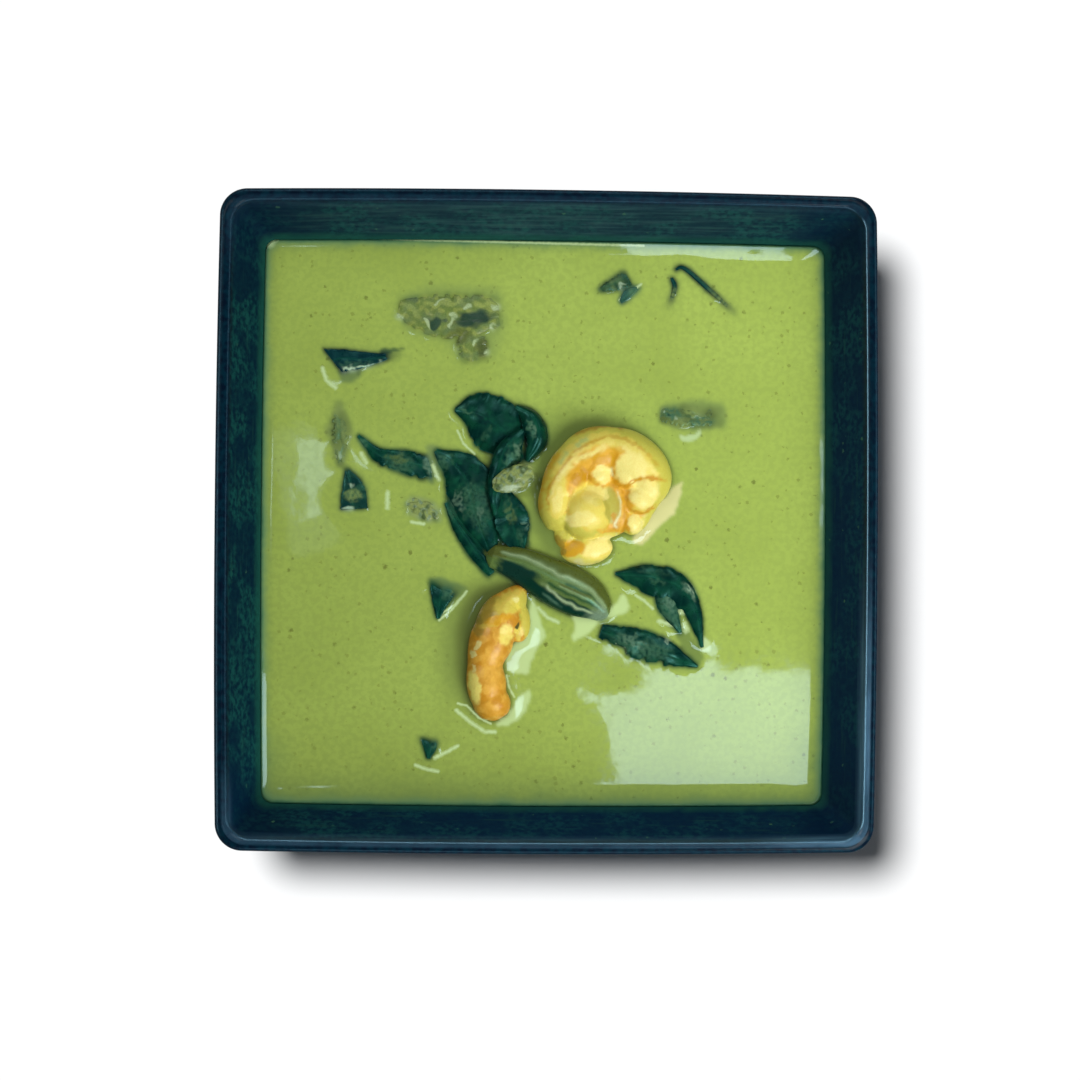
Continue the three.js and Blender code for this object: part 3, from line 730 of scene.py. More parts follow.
# Marks: pale and grey are partly the leaf's own paler and worn spots and partly painted sheen; the bright
# pale green mark is a painted glint where a wet leaf catches the light.
MARK_COLOURS = {"pale": rgb(66, 108, 80), "grey": rgb(104, 136, 110), "olive": rgb(96, 112, 50),
                "dark": rgb(0, 26, 28), "wet_film_and_glint": rgb(176, 202, 168), "soup": rgb(140, 160, 88)}


def leaf_tint(leaf, s, t, x, y, rib, veins, seed):
    """Dark green, uneven, a little paler on the veins, with marks: soft ovals (colour, s, t, half length
    along, half length across, amount) in the leaf's own coordinates."""
    low, high = leaf.get("tone", (LEAF_DARK, LEAF_GREEN))
    uneven = 0.5 + 0.5 * waves(x, y, 5.0, seed + 5)
    fine = 0.75 + 0.25 * waves(x, y, 2.0, seed + 6)
    tint = blend(low, high, np.clip(uneven * fine, 0, 1))
    tint = blend(tint, LEAF_GREEN * 1.8, 0.25 * np.maximum(rib, 0.4 * veins))
    wander_s = s + 0.02 * waves(x, y, 2.4, seed + 7)
    wander_t = t + 0.16 * waves(x, y, 2.0, seed + 8)
    grain = np.clip(0.85 + 0.4 * waves(x, y, 1.2, seed + 9), 0, 1)
    for name, cs, ct, ds, dt, amount in leaf.get("marks", ()):
        spot = oval(wander_s, wander_t, (cs, ct), (ds, dt), soft=0.5)
        tint = blend(tint, MARK_COLOURS[name], amount * grain * spot)
    return tint


# %% Leaf sheet
HALF_SHEET = 0.35  # half the thickness of a leaf in its middle, in millimetres
HALF_RIM = 0.06


def edge_kept(s, ragged, notches, seed):
    """Share of the width left at an edge: fine waves of a depth take some away, and so does each notch
    (start, end, depth), whose ends are as steep as a tear."""
    kept = 1 - ragged * step(-0.4, 1.0, waves(s * 40, 0 * s, 3.4, seed))
    for start, end, depth in notches:
        kept = kept - depth * step(start - 0.012, start + 0.012, s) * step(end + 0.012, end - 0.012, s)
    return kept


def leaf_middle(leaf, s, t, seed):
    """Middle of a leaf: the path's point, moved sideways by t * width * (1 - (1 - kept) * t squared), and
    raised by the arch camber * (1 - t squared) + rise * t squared and a wave; then crumpled and grooved."""
    point, along, left = frame_at(leaf["spine"], s)
    side = t > 0
    width_left = np.maximum(0.2, through(leaf["left"], s))
    width_right = np.maximum(0.2, through(leaf["right"], s))
    fullness = np.where(side, width_left / max(leaf["left"]), width_right / max(leaf["right"]))
    ragged = leaf.get("ragged", (0.07, 0.07))
    notches = leaf.get("notches", ((), ()))
    kept = np.where(side, edge_kept(s, ragged[0], notches[0], seed + 1),
                    edge_kept(s, ragged[1], notches[1], seed + 2))
    width = np.where(side, width_left, width_right)
    camber, ripple = leaf.get("camber", 0.0), leaf.get("ripple", 0.0)
    rise = np.where(side, leaf["rise"][0], leaf["rise"][1])
    lift = camber * (1 - t * t) + rise * t * t
    wave = ripple * t * np.sin(np.pi * (5 * s + 0.5 * t))
    sideways = t * width * (1 - (1 - kept) * t * t)
    slant = leaf.get("slant", (0.0, 0.0))
    forward = t * (slant[0] * (1 - s) ** 3 + slant[1] * s**3)
    place = point + left * sideways[..., None] + along * forward[..., None]
    x, y = place[..., 0], place[..., 1]
    crumple = leaf.get("crumple", 0.14) * waves(x, y, 6.0, seed + 3) + 0.005 * waves(x, y, 1.8, seed + 4)
    rib = np.exp(-((t * width) / 0.35) ** 2)
    veins = np.maximum(0, np.cos(2 * np.pi * (7 * s - 0.9 * np.abs(t)))) ** 14 * step(0.05, 0.25, np.abs(t))
    place[..., 2] += fullness * (lift + wave) + crumple * (1 - 0.5 * t * t) - 0.09 * rib - 0.02 * veins
    return place, rib, veins


def make_sheet(leaf, seed, along_steps, across_steps):
    """Closes a leaf's middle into a solid: HALF_SHEET above it and below, thinning to HALF_RIM at the rim."""
    s, t = np.meshgrid(np.linspace(0, 1, along_steps), np.linspace(-1, 1, across_steps), indexing="ij")
    middle, rib, veins = leaf_middle(leaf, s, t, seed)
    taper = np.minimum(1, 6 * np.minimum(s, 1 - s)) ** 0.5 * (1 - t**8)
    half = (HALF_RIM + (HALF_SHEET - HALF_RIM) * taper)[..., None] * [0, 0, 1]
    points = np.concatenate([(middle + half).reshape(-1, 3), (middle - half).reshape(-1, 3)])
    count = s.size
    index = np.arange(count).reshape(s.shape)
    rim = np.concatenate([index[:-1, 0], index[-1, :-1], index[:0:-1, -1], index[0, :0:-1]])
    after = np.roll(rim, -1)
    top = grid_faces(*s.shape)
    sides = np.stack([rim, rim + count, after + count, after], 1)
    quads = np.concatenate([top[:, ::-1], top + count, sides[:, ::-1]])
    tint = leaf_tint(leaf, s, t, middle[..., 0], middle[..., 1], rib, veins, seed).reshape(-1, 3)
    return points, quads, np.concatenate([tint, tint])


def join_sheets(first, second):
    """Puts two closed sheets into one set of arrays."""
    return (np.concatenate([first[0], second[0]]), np.concatenate([first[1], second[1] + len(first[0])]),
            np.concatenate([first[2], second[2]]))


def lay_leaf(node, sheet, name, material):
    """Makes the sheet's piece, keeps its tint, leaves it on the map and lets it stand for its CAD node."""
    points, quads, tint = sheet
    piece = new_piece(name, points, quads)
    keep(piece, "tint", tint)
    mark_tops(points, tint)
    stand_for(piece, node, material)


def lay_leaves(leaves, first_seed, along_steps, across_steps, flaps):
    """Makes and lays a set of leaves. A flap is a second sheet of a piece: its values, seed and steps."""
    for number, (node, leaf) in enumerate(leaves.items()):
        sheet = make_sheet(leaf, first_seed + 10 * number, along_steps, across_steps)
        if node in flaps:
            sheet = join_sheets(sheet, make_sheet(*flaps[node]))
        lay_leaf(node, sheet, f"basil_{node}", wet_leaf)


# %% Wet leaf finish
wet_leaf, shader = food_finish("wet_leaf", mottle=(1.8, 2.0), dents=(1.3, 0.35), shade=rgb(222, 222, 222),
                               gloss=(0.26, 0.4), depth=0.028, ior=1.36)
shader.inputs["Specular Tint"].default_value = (0.3, 1.0, 0.9, 1)

# %% The leaves
LEAVES = {
    "leaf_fold": dict(
        spine=[[-5.8, 23.9, 2.6], [-9.8, 20, 3.2], [-12, 14.8, 3.3], [-13.3, 8.4, 2.8], [-12.9, 1.6, 2.2]],
        left=[0.6, 5.2, 4.2, 3, 0.4], right=[0.5, 2, 2.2, 1.6, 0.4], rise=[-1.9, -0.5], camber=0.3,
        ripple=0.25,
        marks=[("pale", 0.36, 0.5, 0.2, 0.32, 0.85), ("grey", 0.22, 0.6, 0.08, 0.2, 0.5),
               ("dark", 0.5, -0.4, 0.5, 0.3, 0.5)]),
    "leaf_top_right": dict(
        spine=[[-7.6, 30.2, 1], [-3.5, 27.4, 2], [-1.7, 22, 2], [-4.6, 16, 1.2]], left=[0.5, 1.8, 2.5, 0.7],
        right=[0.5, 3.2, 3.4, 0.6], rise=[-1.7, -0.6], camber=0.4, ripple=0.2,
        marks=[("pale", 0.5, -0.45, 0.2, 0.25, 0.9), ("grey", 0.52, -0.3, 0.12, 0.1, 0.5)]),
    "leaf_curl": dict(
        spine=[[-10.2, 9, 1.6], [-8.6, 2.8, 1.7], [-7.8, -1.9, 1.5], [-5.6, -7.6, 1.1]],
        left=[0.5, 3.8, 4.2, 0.5], right=[0.5, 4.4, 4.4, 1.6], rise=[-0.9, 0.6], camber=-0.7, ripple=0.2,
        marks=[("olive", 0.36, -0.05, 0.16, 0.22, 0.55), ("pale", 0.3, 0.0, 0.2, 0.4, 0.35),
               ("pale", 0.8, 0.3, 0.12, 0.3, 0.5), ("grey", 0.62, 0.75, 0.1, 0.12, 0.5)]),
    "leaf_top": dict(
        spine=[[-23.4, 29.2, 0.3], [-18.2, 28.4, 0.9], [-12.6, 25.2, 1.3], [-6.8, 20.2, 0.7]],
        left=[0.5, 5.6, 7, 2.2], right=[0.5, 5, 7.6, 4.6], rise=[-0.8, -1], camber=0.5, ripple=0.3,
        marks=[("pale", 0.18, -0.12, 0.13, 0.14, 0.8), ("pale", 0.12, 0.25, 0.06, 0.4, 0.45),
               ("dark", 0.45, -0.05, 0.14, 0.2, 0.7), ("pale", 0.62, -0.5, 0.05, 0.25, 0.35)]),
    "leaf_centre": dict(
        spine=[[-28.2, 18.7, 0.2], [-20.9, 12, 0.8], [-18.2, 2.7, 0.9], [-13.9, -8, 0.5]],
        left=[0.4, 6.2, 6.4, 2], right=[0.8, 6, 4.5, 0.5], rise=[-0.3, -0.9], camber=0.4, ripple=0.3,
        marks=[("pale", 0.1, -0.3, 0.07, 0.7, 0.75), ("pale", 0.62, 0.1, 0.2, 0.6, 0.5),
               ("grey", 0.55, -0.6, 0.1, 0.15, 0.6), ("dark", 0.3, 0.4, 0.12, 0.4, 0.5),
               ("pale", 0.48, -0.15, 0.06, 0.1, 0.6), ("grey", 0.7, 0.2, 0.05, 0.1, 0.45)]),
    "leaf_tail": dict(
        spine=[[-25.6, 5, 0.2], [-22.7, -0.5, 0.4], [-18.4, -6.8, 0.4], [-13.4, -13.2, 0.2]],
        left=[0.4, 0.8, 1.5, 1.5], right=[0.4, 1.5, 2.1, 1.6], rise=[-0.4, -0.5], camber=0.2, ripple=0.1,
        crumple=0.08, marks=[("pale", 0.15, 0.0, 0.12, 0.7, 0.5)]),
    "leaf_wing": dict(
        spine=[[-48.4, 22.2, 0.1], [-43, 17.4, 0.2], [-36.8, 15.8, 0.2], [-29.6, 14, 0.1]],
        left=[0.4, 1.7, 2.9, 3], right=[0.4, 2.2, 3.4, 3.8], rise=[-0.2, -0.5], camber=0.2, ripple=0.15,
        ragged=(0.1, 0.25), slant=(0, -1.6),
        marks=[("pale", 0.62, -0.1, 0.16, 0.75, 0.8), ("olive", 0.58, 0.1, 0.12, 0.4, 0.55),
               ("pale", 0.08, -0.2, 0.07, 0.9, 0.8), ("grey", 0.98, 0.1, 0.05, 0.9, 0.7)]),
    "leaf_right": dict(
        spine=[[18.6, -13, 0.2], [26.3, -13.6, 0.7], [34.2, -15.8, 0.9], [39.5, -21.8, 0.8],
               [41.4, -32, 0.2]], left=[0.4, 3.2, 3.4, 1.5, 0.4], right=[0.4, 4.2, 5.2, 3.4, 0.4],
        rise=[-0.6, -0.5], camber=0.4, ripple=0.25, ragged=(0.12, 0.2), notches=(((0.3, 0.34, 0.12),), ()),
        marks=[("grey", 0.62, 0.45, 0.07, 0.35, 0.75), ("wet_film_and_glint", 0.61, 0.6, 0.03, 0.14, 0.6),
               ("pale", 0.36, -0.1, 0.05, 0.2, 0.5), ("pale", 0.3, 0.5, 0.12, 0.3, 0.3)]),
    "leaf_torn": dict(
        spine=[[14.9, -28, 0.2], [21.6, -30.2, 0.5], [30.3, -33.2, 0.5], [40.2, -37, 0.2]],
        left=[1.9, 3.6, 3.9, 0.4], right=[2, 3.6, 3.6, 0.3], rise=[-0.5, -0.6], camber=0.4, ripple=0.2,
        ragged=(0.06, 0.16),
        notches=(((0.2, 0.24, 0.12),), ((0.06, 0.37, 0.3), (0.68, 0.73, 0.4), (0.55, 0.57, 0.2))),
        marks=[("pale", 0.45, -0.2, 0.3, 0.6, 0.7), ("grey", 0.4, 0.05, 0.14, 0.3, 0.5),
               ("pale", 0.66, 0.3, 0.1, 0.35, 0.45), ("wet_film_and_glint", 0.36, -0.85, 0.02, 0.16, 0.7),
               ("wet_film_and_glint", 0.24, -0.6, 0.015, 0.12, 0.5), ("wet_film_and_glint", 0.7, 0.85, 0.02, 0.1, 0.6)]),
}
RIGHT_FLAP = dict(spine=[[30.9, -17.4, 0.7], [32.4, -22, 0.6], [35.7, -28.2, 0.1]], left=[2.4, 2.5, 0.4],
                  right=[2.4, 2.4, 0.4], rise=[-0.1, -0.5], camber=0.1, ripple=0.1, crumple=0.08,
                  marks=[("pale", 0.5, 0.1, 0.5, 0.9, 0.85), ("grey", 0.35, 0.3, 0.2, 0.4, 0.5)])
lay_leaves(LEAVES, 100, 120, 45, {"leaf_right": (RIGHT_FLAP, 190, 48, 25)})

# %% [markdown]
# ## Leaf tips, strips and shreds
#
# Round the curry small ends of leaves break the surface: a tip stands out and the rest is under. They are
# the same sheet with fewer numbers, tilted so that one end sinks.

# %% The small bits
BITS = {
    "leaf_tip_upper": dict(
        spine=[[-55.2, 41.6, 0.4], [-52.4, 42.2, 0.3], [-46.5, 42, 0], [-37.6, 43.4, -0.6]],
        left=[3.6, 2.4, 1.9, 0.3], right=[3.6, 3.6, 2, 0.3], rise=[0.1, 0.2], slant=(-1.7, 0), tone=NAVY,
        marks=[("pale", 0.45, -0.5, 0.3, 0.25, 0.5), ("wet_film_and_glint", 0.42, -0.82, 0.34, 0.2, 1.0)]),
    "leaf_tip_low": dict(
        spine=[[-27.4, -25, 0.4], [-26.8, -19.6, 0.2], [-25.8, -15.8, -0.6]], left=[0.4, 2.4, 4.2],
        right=[0.4, 2.9, 4.6], rise=[0.2, -0.2],
        marks=[("pale", 0.8, -0.5, 0.3, 0.5, 0.8), ("olive", 0.9, -0.7, 0.2, 0.3, 0.7)]),
    "leaf_tip_small": dict(
        spine=[[-29.6, -61.2, 0.4], [-29.3, -58.4, 0.2], [-29, -56, -0.6]], left=[0.4, 1.7, 2.8],
        right=[0.4, 1.7, 1.8], rise=[0.2, 0], marks=[("pale", 0.7, -0.6, 0.3, 0.4, 0.6)]),
    "leaf_triangle": dict(
        spine=[[-51.4, 13.8, -0.2], [-50, 8.9, 0.2], [-49.6, 3.2, 0.4]], left=[0.4, 3.2, 3.8],
        right=[0.4, 2.5, 3.3], rise=[-0.2, 0.1], tone=(rgb(4, 42, 38), rgb(44, 86, 64)),
        marks=[("soup", 0.68, 0.0, 0.14, 0.6, 0.6), ("wet_film_and_glint", 0.46, 0.0, 0.05, 0.2, 0.7),
               ("wet_film_and_glint", 0.98, -0.3, 0.04, 0.4, 0.8)]),
    "shred_long": dict(
        spine=[[33.6, 66.3, -0.1], [36.2, 66.6, 0.3], [42.6, 61.2, 0.4], [49.8, 55, -0.6]],
        left=[0.3, 0.5, 0.6, 0.4], right=[0.3, 0.5, 0.6, 0.4], rise=[0, 0], crumple=0.05, tone=NAVY,
        marks=[("soup", 0.95, 0, 0.25, 2, 0.6), ("pale", 0.55, 0.4, 0.2, 0.5, 0.5)]),
    "shred_short": dict(
        spine=[[32.8, 64.2, 0.1], [33.6, 61.4, 0.2], [31.9, 56.2, -0.8]], left=[0.4, 0.6, 0.4],
        right=[0.4, 0.6, 0.4], rise=[0, 0], crumple=0.05, tone=NAVY, marks=[("soup", 0.9, 0, 0.4, 2, 0.6)]),
    "leaf_strip_right": dict(
        spine=[[30, 28.4, -0.1], [36.3, 28.2, -0.1], [46.4, 27.8, -0.4]], left=[1.8, 3, 2.4],
        right=[1.8, 3, 2.4], rise=[-0.2, -0.1], crumple=0.3, ragged=(0.4, 0.4), tone=SOUPY,
        marks=[("pale", 0.25, 0.3, 0.2, 0.6, 0.8), ("dark", 0.2, 0.1, 0.03, 0.25, 0.8),
               ("dark", 0.9, 0.2, 0.06, 0.3, 0.6), ("wet_film_and_glint", 0.35, -0.4, 0.05, 0.2, 0.8),
               ("pale", 0.75, -0.5, 0.2, 0.25, 0.8), ("soup", 0.6, 0.3, 0.1, 0.3, 0.8),
               ("wet_film_and_glint", 0.7, 0.0, 0.08, 0.08, 0.7), ("wet_film_and_glint", 0.1, 0.4, 0.03, 0.2, 0.7)]),
    "leaf_bit_top": dict(
        spine=[[13.6, 60.6, -0.4], [17.6, 62.4, 0.1], [21.2, 64.4, -0.1]], left=[0.5, 1.6, 2],
        right=[0.5, 2, 2.9], rise=[-0.1, 0], crumple=0.3, ragged=(0.3, 0.3),
        tone=(rgb(36, 68, 48), rgb(92, 116, 70)), marks=[("wet_film_and_glint", 0.7, -0.5, 0.1, 0.3, 0.7)]),
    "leaf_stub_left": dict(
        spine=[[-53.4, 31, -0.6], [-53.2, 23.4, 0], [-53, 14.2, -0.1]], left=[0.5, 2.8, 0.5],
        right=[0.6, 2.4, 0.5], rise=[-0.3, 0], crumple=0.3, ragged=(0.6, 0.6), tone=SOUPY,
        marks=[("pale", 0.5, -0.2, 0.1, 0.4, 0.4), ("wet_film_and_glint", 0.85, 0.0, 0.05, 0.4, 0.6)]),
}
TOP_FLAP = dict(spine=[[19.4, 57.6, -0.1], [21.8, 59.8, 0.1], [24.6, 61.8, -0.5]], left=[0.5, 1.5, 0.4],
                right=[0.5, 0.9, 0.4], rise=[0, 0], tone=(rgb(52, 88, 74), rgb(88, 124, 88)))
lay_leaves(BITS, 300, 72, 29, {"leaf_bit_top": (TOP_FLAP, 395, 48, 21)})

# %% [markdown]
# ## Aubergine
#
# Scraps of cooked aubergine: soft olive flesh with dark skin, most of it awash. The large scrap is a crumpled
# sheet that lies right at the surface, so the curry floods its hollows. The two bits are pressed balls with
# a rough surface.

# %% Aubergine finish
aubergine, _ = food_finish("soft_aubergine", mottle=(1.4, 2.2), dents=(1.1, 0.5), shade=rgb(205, 208, 196),
                           gloss=(0.34, 0.5), depth=0.045, ior=1.36)

# %% Aubergine scrap
SCRAP = dict(spine=[[-38.2, 55, 0], [-30.1, 53, 0.2], [-21.7, 52.4, 0.3], [-12, 53.4, 0]],
             left=[2.8, 6.4, 6.8, 5.8], right=[2, 4.4, 4.6, 2.6], rise=[-0.3, 0.1],
             camber=0.2, ripple=0.1, crumple=0.2, ragged=(0.12, 0.15))
SCRAP_FLAP = dict(spine=[[-19.9, 50.6, 0.2], [-19.2, 46.4, 0.2], [-18.4, 41.8, -0.3]], left=[2.6, 4, 3.4],
                  right=[2.6, 4, 3.4], rise=[-0.1, -0.1], camber=0.1, ripple=0.1, crumple=0.2,
                  ragged=(0.2, 0.2))
points, quads, tint = join_sheets(make_sheet(SCRAP, 500, 130, 75), make_sheet(SCRAP_FLAP, 510, 60, 45))

# %% Colours of the scrap
x, y = points[:, 0], points[:, 1]
wx = x + 0.5 * waves(x, y, 3.0, 21)
wy = y + 0.5 * waves(x, y, 3.0, 22)
layers = 0.5 + 0.5 * np.cos(2 * np.pi * (0.96 * wy - 0.12 * wx) / 3.4)
tint = blend(rgb(116, 138, 66), rgb(146, 160, 78), step(-0.5, 1, waves(x, y, 1.8, 23)))
tint = blend(tint, rgb(108, 132, 80), 0.8 * layers * step(-0.8, 0.6, waves(x, y, 5.0, 24)))
SCRAP_MARKS = [
    (rgb(92, 108, 42), 0.85, (-18.8, 59.6), (4.2, 0.9), 0.12),
    (rgb(94, 118, 74), 0.9, (-34.9, 58.9), (2.0, 1.8), 0.4),
    (rgb(40, 74, 56), 0.95, (-28.4, 51.6), (2.2, 1.3), 0.1),
    (rgb(34, 68, 54), 0.95, (-18.6, 52.8), (5.0, 1.9), 0.16),
    (rgb(78, 92, 42), 0.8, (-16.0, 45.2), (2.2, 2.4), 0.0),
    (rgb(96, 108, 46), 0.7, (-22.4, 48.4), (3.4, 2.0), 0.1),
    (rgb(156, 172, 88), 0.8, (-27.0, 56.8), (4.6, 0.9), 0.1),
    (rgb(156, 172, 88), 0.8, (-15.6, 56.4), (3.2, 0.9), -0.1),
    (rgb(150, 168, 92), 0.7, (-34.6, 55.2), (2.2, 1.0), -0.4),
]
tint = paint_ovals(tint, wx, wy, SCRAP_MARKS, 0.35)
# Painted highlights: pale glints where the wet scrap would catch the light.
GLINT = rgb(186, 208, 156)
GLINTS = [((-37.6, 53.4), (0.9, 1.1), -0.7), ((-30.9, 51.4), (0.6, 1.2), 0.5),
          ((-24.2, 53.8), (0.9, 0.6), 0.3), ((-24.3, 51.9), (0.5, 1.3), -0.2),
          ((-20.6, 56.2), (0.9, 0.7), 0.3), ((-12.4, 55.6), (1.3, 0.7), -0.6),
          ((-23.6, 46.2), (0.6, 1.5), 0.1), ((-14.9, 44.4), (0.7, 1.0), 0.0),
          ((-18.4, 47.0), (0.5, 0.8), 0.0), ((-14.0, 50.0), (0.5, 1.6), -0.4),
          ((-28.0, 57.2), (1.1, 0.4), 0.3)]
tint = paint_ovals(tint, wx, wy, [(GLINT, 0.9, *glint) for glint in GLINTS], 0.4)
lay_leaf("aubergine_top", (points, quads, tint), "aubergine_scrap", aubergine)

# %% Pressed balls
BALL_ROWS, BALL_COLUMNS = 48, 64


def ball(centre, size, turn, rough=0.0, seed=0):
    """A ball scaled to size, turned level about its centre. Its radius is 1 + rough * waves of its
    direction."""
    polar = np.linspace(0, np.pi, BALL_ROWS + 1)[1:-1, None]
    angle = np.linspace(0, 2 * np.pi, BALL_COLUMNS, endpoint=False)[None, :]
    ux, uy, uz = np.sin(polar) * np.cos(angle), np.sin(polar) * np.sin(angle), np.cos(polar) + 0 * angle
    unit = np.stack([ux, uy, uz], -1).reshape(-1, 3)
    unit = np.concatenate([unit, [[0, 0, 1], [0, 0, -1]]])
    ux, uy, uz = unit.T
    bumps = 1 + rough * (waves(3 * ux + 1.7 * uz, 3 * uy - 1.3 * uz, 1.6, seed))
    x, y, z = (unit * bumps[:, None] * size).T
    c, s = math.cos(turn), math.sin(turn)
    points = np.stack([c * x - s * y, s * x + c * y, z], 1)
    points += np.array(centre) + [0, 0, LEVEL]
    return points, *pole_faces(BALL_ROWS - 1, BALL_COLUMNS)


def pole_faces(rows, columns):
    """Faces of rows of rings and, after them, the two points that close the ends."""
    ring = np.arange(columns)
    after = (ring + 1) % columns
    top, bottom = rows * columns, rows * columns + 1
    base = (rows - 1) * columns
    caps = np.concatenate([np.stack([np.full(columns, top), ring, after], 1),
                           np.stack([np.full(columns, bottom), after + base, ring + base], 1)])
    return grid_faces(rows, columns, ring=True)[:, ::-1], caps


# %% The two soft bits
AUBERGINE_BITS = {"aubergine_bit": ((-8.4, 11.2, 3.9), (5.6, 3.2, 1.3), 0.45),
                  "aubergine_bit_left": ((-31.3, 3.2, -0.6), (4.8, 2.7, 1.3), -0.4)}
# Painted highlights: one pale glint on each bit's lower edge.
BIT_GLINTS = [(-9.1, 8.9), (2.4, 0.8), 0.2], [(-33.4, 0.4), (1.4, 0.5), -0.2]
for seed, (node, (centre, size, turn)) in enumerate(AUBERGINE_BITS.items()):
    points, quads, triangles = ball(centre, size, turn, rough=0.07, seed=40 + seed)
    piece = new_piece(f"soft_{node}", points, quads, triangles)
    x, y = points[:, 0], points[:, 1]
    stripes = step(0.0, 0.9, waves(x, y, 2.6, 50 + seed))
    tint = blend(rgb(146, 162, 92), rgb(82, 104, 58), stripes)
    tint = blend(tint, rgb(128, 152, 112), step(0.2, 1.0, waves(x, y, 1.6, 54 + seed)))
    place, radii, angle = BIT_GLINTS[seed]
    wavy = 0.3 * waves(x, y, 1.5, 58)
    tint = blend(tint, rgb(190, 210, 176), 0.9 * oval(x + wavy, y + wavy, place, radii, angle, 0.4))
    keep(piece, "tint", tint)
    mark_tops(points, tint)
    stand_for(piece, node, aubergine)

# %% [markdown]
# ## The ridged leaf
#
# One leaf is folded along its rib like a pod: a brown-olive back, pale lines along the fold, and a striped
# dark green lower side. It is a ball drawn out along a path. The angle round it picks the stripe.

# %% Ball drawn out along a path
def bent_ball(path, side_radius, up_radius, rows, columns):
    """A ball bent along a path: with polar angle f the path is followed to (1 - cos f) / 2, and the section
    there has the given radii times min(1, 2.4 sin f)."""
    polar = np.linspace(0, np.pi, rows + 1)[:, None]
    angle = np.linspace(0, 2 * np.pi, columns, endpoint=False)[None, :]
    s = (1 - np.cos(polar)) / 2 + 0 * angle
    angle = angle + 0 * s
    point, _, left = frame_at(path, s)
    taper = np.minimum(1, 2.4 * np.sin(polar))
    points = point + left * (taper * side_radius(s, angle) * np.cos(angle))[..., None]
    points[..., 2] += taper * up_radius(s, angle) * np.sin(angle)
    rings = points[1:-1].reshape(-1, 3)
    s_all = np.concatenate([s[1:-1].ravel(), [0, 1]])
    angle_all = np.concatenate([angle[1:-1].ravel(), [np.pi / 2, np.pi / 2]])
    points = np.concatenate([rings, [points[0, 0], points[-1, 0]]])
    return points, s_all, angle_all, *pole_faces(rows - 1, columns)


# %% The pod
POD_PATH = [[-15, -8.2, 0.6], [-6.4, -10.9, 1.1], [2.5, -15.4, 1.4], [10.9, -19.3, 1], [16.8, -23.9, 0.3]]
POD_RADII = [2.6, 4.5, 5.8, 5.6, 2.2]


def pod_radius(s, angle):
    """The same all round: the cubic through POD_RADII at s."""
    return through(POD_RADII, s)


def pod_height(s, angle):
    """0.55 of the width, and the fold stands up along the back as a narrow ridge; a second, lower line runs
    beside it."""
    fold = 0.22 * np.maximum(0, np.sin(angle)) ** 12
    line = 0.05 * np.exp(-((angle - 1.05) / 0.12) ** 2) * step(0.45, 0.6, s)
    return through(POD_RADII, s) * (0.55 + fold + line)


# %% Pod stripes
points, s, angle, quads, triangles = bent_ball(POD_PATH, pod_radius, pod_height, 150, 96)
pod = new_piece("folded_leaf", points, quads, triangles)
u = s + 0.012 * waves(40 * s, 6 * angle, 3.0, 60)
across = np.cos(angle) + 0.03 * waves(38 * s, 6 * np.cos(angle), 4.0, 61)


def pod_line(at_s, at_across, width):
    """A soft line along the pod, through the given heights across it, fading where it starts and ends: the
    bell curve of the distance across, divided by the width."""
    height = np.interp(u, at_s, at_across)
    ends = step(at_s[0], at_s[0] + 0.05, u) * step(at_s[-1], at_s[-1] - 0.05, u)
    return np.exp(-((across - height) / width) ** 2) * ends


def paint_pod_lines(tint, lines):
    """Lays soft lines (colour, amount, places along, heights across, width) over the pod's tint."""
    for colour, amount, at_s, at_across, width in lines:
        tint = blend(tint, colour, amount * pod_line(at_s, at_across, width))
    return tint


FOLD_LINES = [
    (rgb(84, 84, 36), 0.7, [0.5, 0.62, 0.8], [0.02, 0.0, 0.05], 0.09),
    (rgb(40, 78, 46), 0.9, [0.42, 0.6, 0.9], [-0.18, -0.22, -0.12], 0.08),
    (rgb(40, 78, 46), 0.9, [0.55, 0.7, 0.92], [0.16, 0.16, 0.12], 0.06),
    (rgb(132, 160, 108), 0.9, [0.5, 0.68, 0.94], [-0.06, -0.08, 0.02], 0.05),
]
# Pale lines along the fold: pale veins, and in part painted highlights where the ridge catches the light.
PALE_LINES = [
    (rgb(146, 172, 122), 1.0, [0.08, 0.3, 0.5, 0.7, 0.97], [0.42, 0.46, 0.4, 0.38, 0.3], 0.13),
    (rgb(176, 198, 150), 0.7, [0.1, 0.3, 0.5, 0.66], [0.46, 0.5, 0.42, 0.4], 0.04),
    (rgb(166, 190, 144), 1.0, [0.42, 0.53, 0.63, 0.8, 0.9], [-0.3, -0.45, -0.62, -0.6, -0.5], 0.07),
    (rgb(88, 128, 104), 0.7, [0.45, 0.55, 0.62], [-0.62, -0.78, -0.82], 0.05),
]
tint = np.broadcast_to(rgb(104, 130, 66), points.shape)
# The olive back on the upper right flank: a paler leaf side darkened as painted shade, on the side away from
# the light.
tint = blend(tint, rgb(92, 104, 42), step(0.36, 0.5, across))
tint = blend(tint, rgb(98, 108, 46), step(0.2, 0.08, u) * step(-0.3, 0.1, across))
tint = blend(tint, rgb(18, 54, 44), step(0.1, -0.1, across) * step(0.06, 0.14, u) * step(0.46, 0.34, u))
tint = blend(tint, rgb(8, 50, 38), step(-0.34, -0.46, across) * step(0.28, 0.36, u))
tint = paint_pod_lines(tint, FOLD_LINES)
# Painted highlight at the pod's far end, where it would mirror the window.
tint = blend(tint, rgb(130, 156, 126), 0.85 * step(0.8, 0.92, u) * step(0.4, 0.2, across))
tint = paint_pod_lines(tint, PALE_LINES)
keep(pod, "tint", tint)
mark_tops(points, tint)
stand_for(pod, "leaf_ridged", wet_leaf)

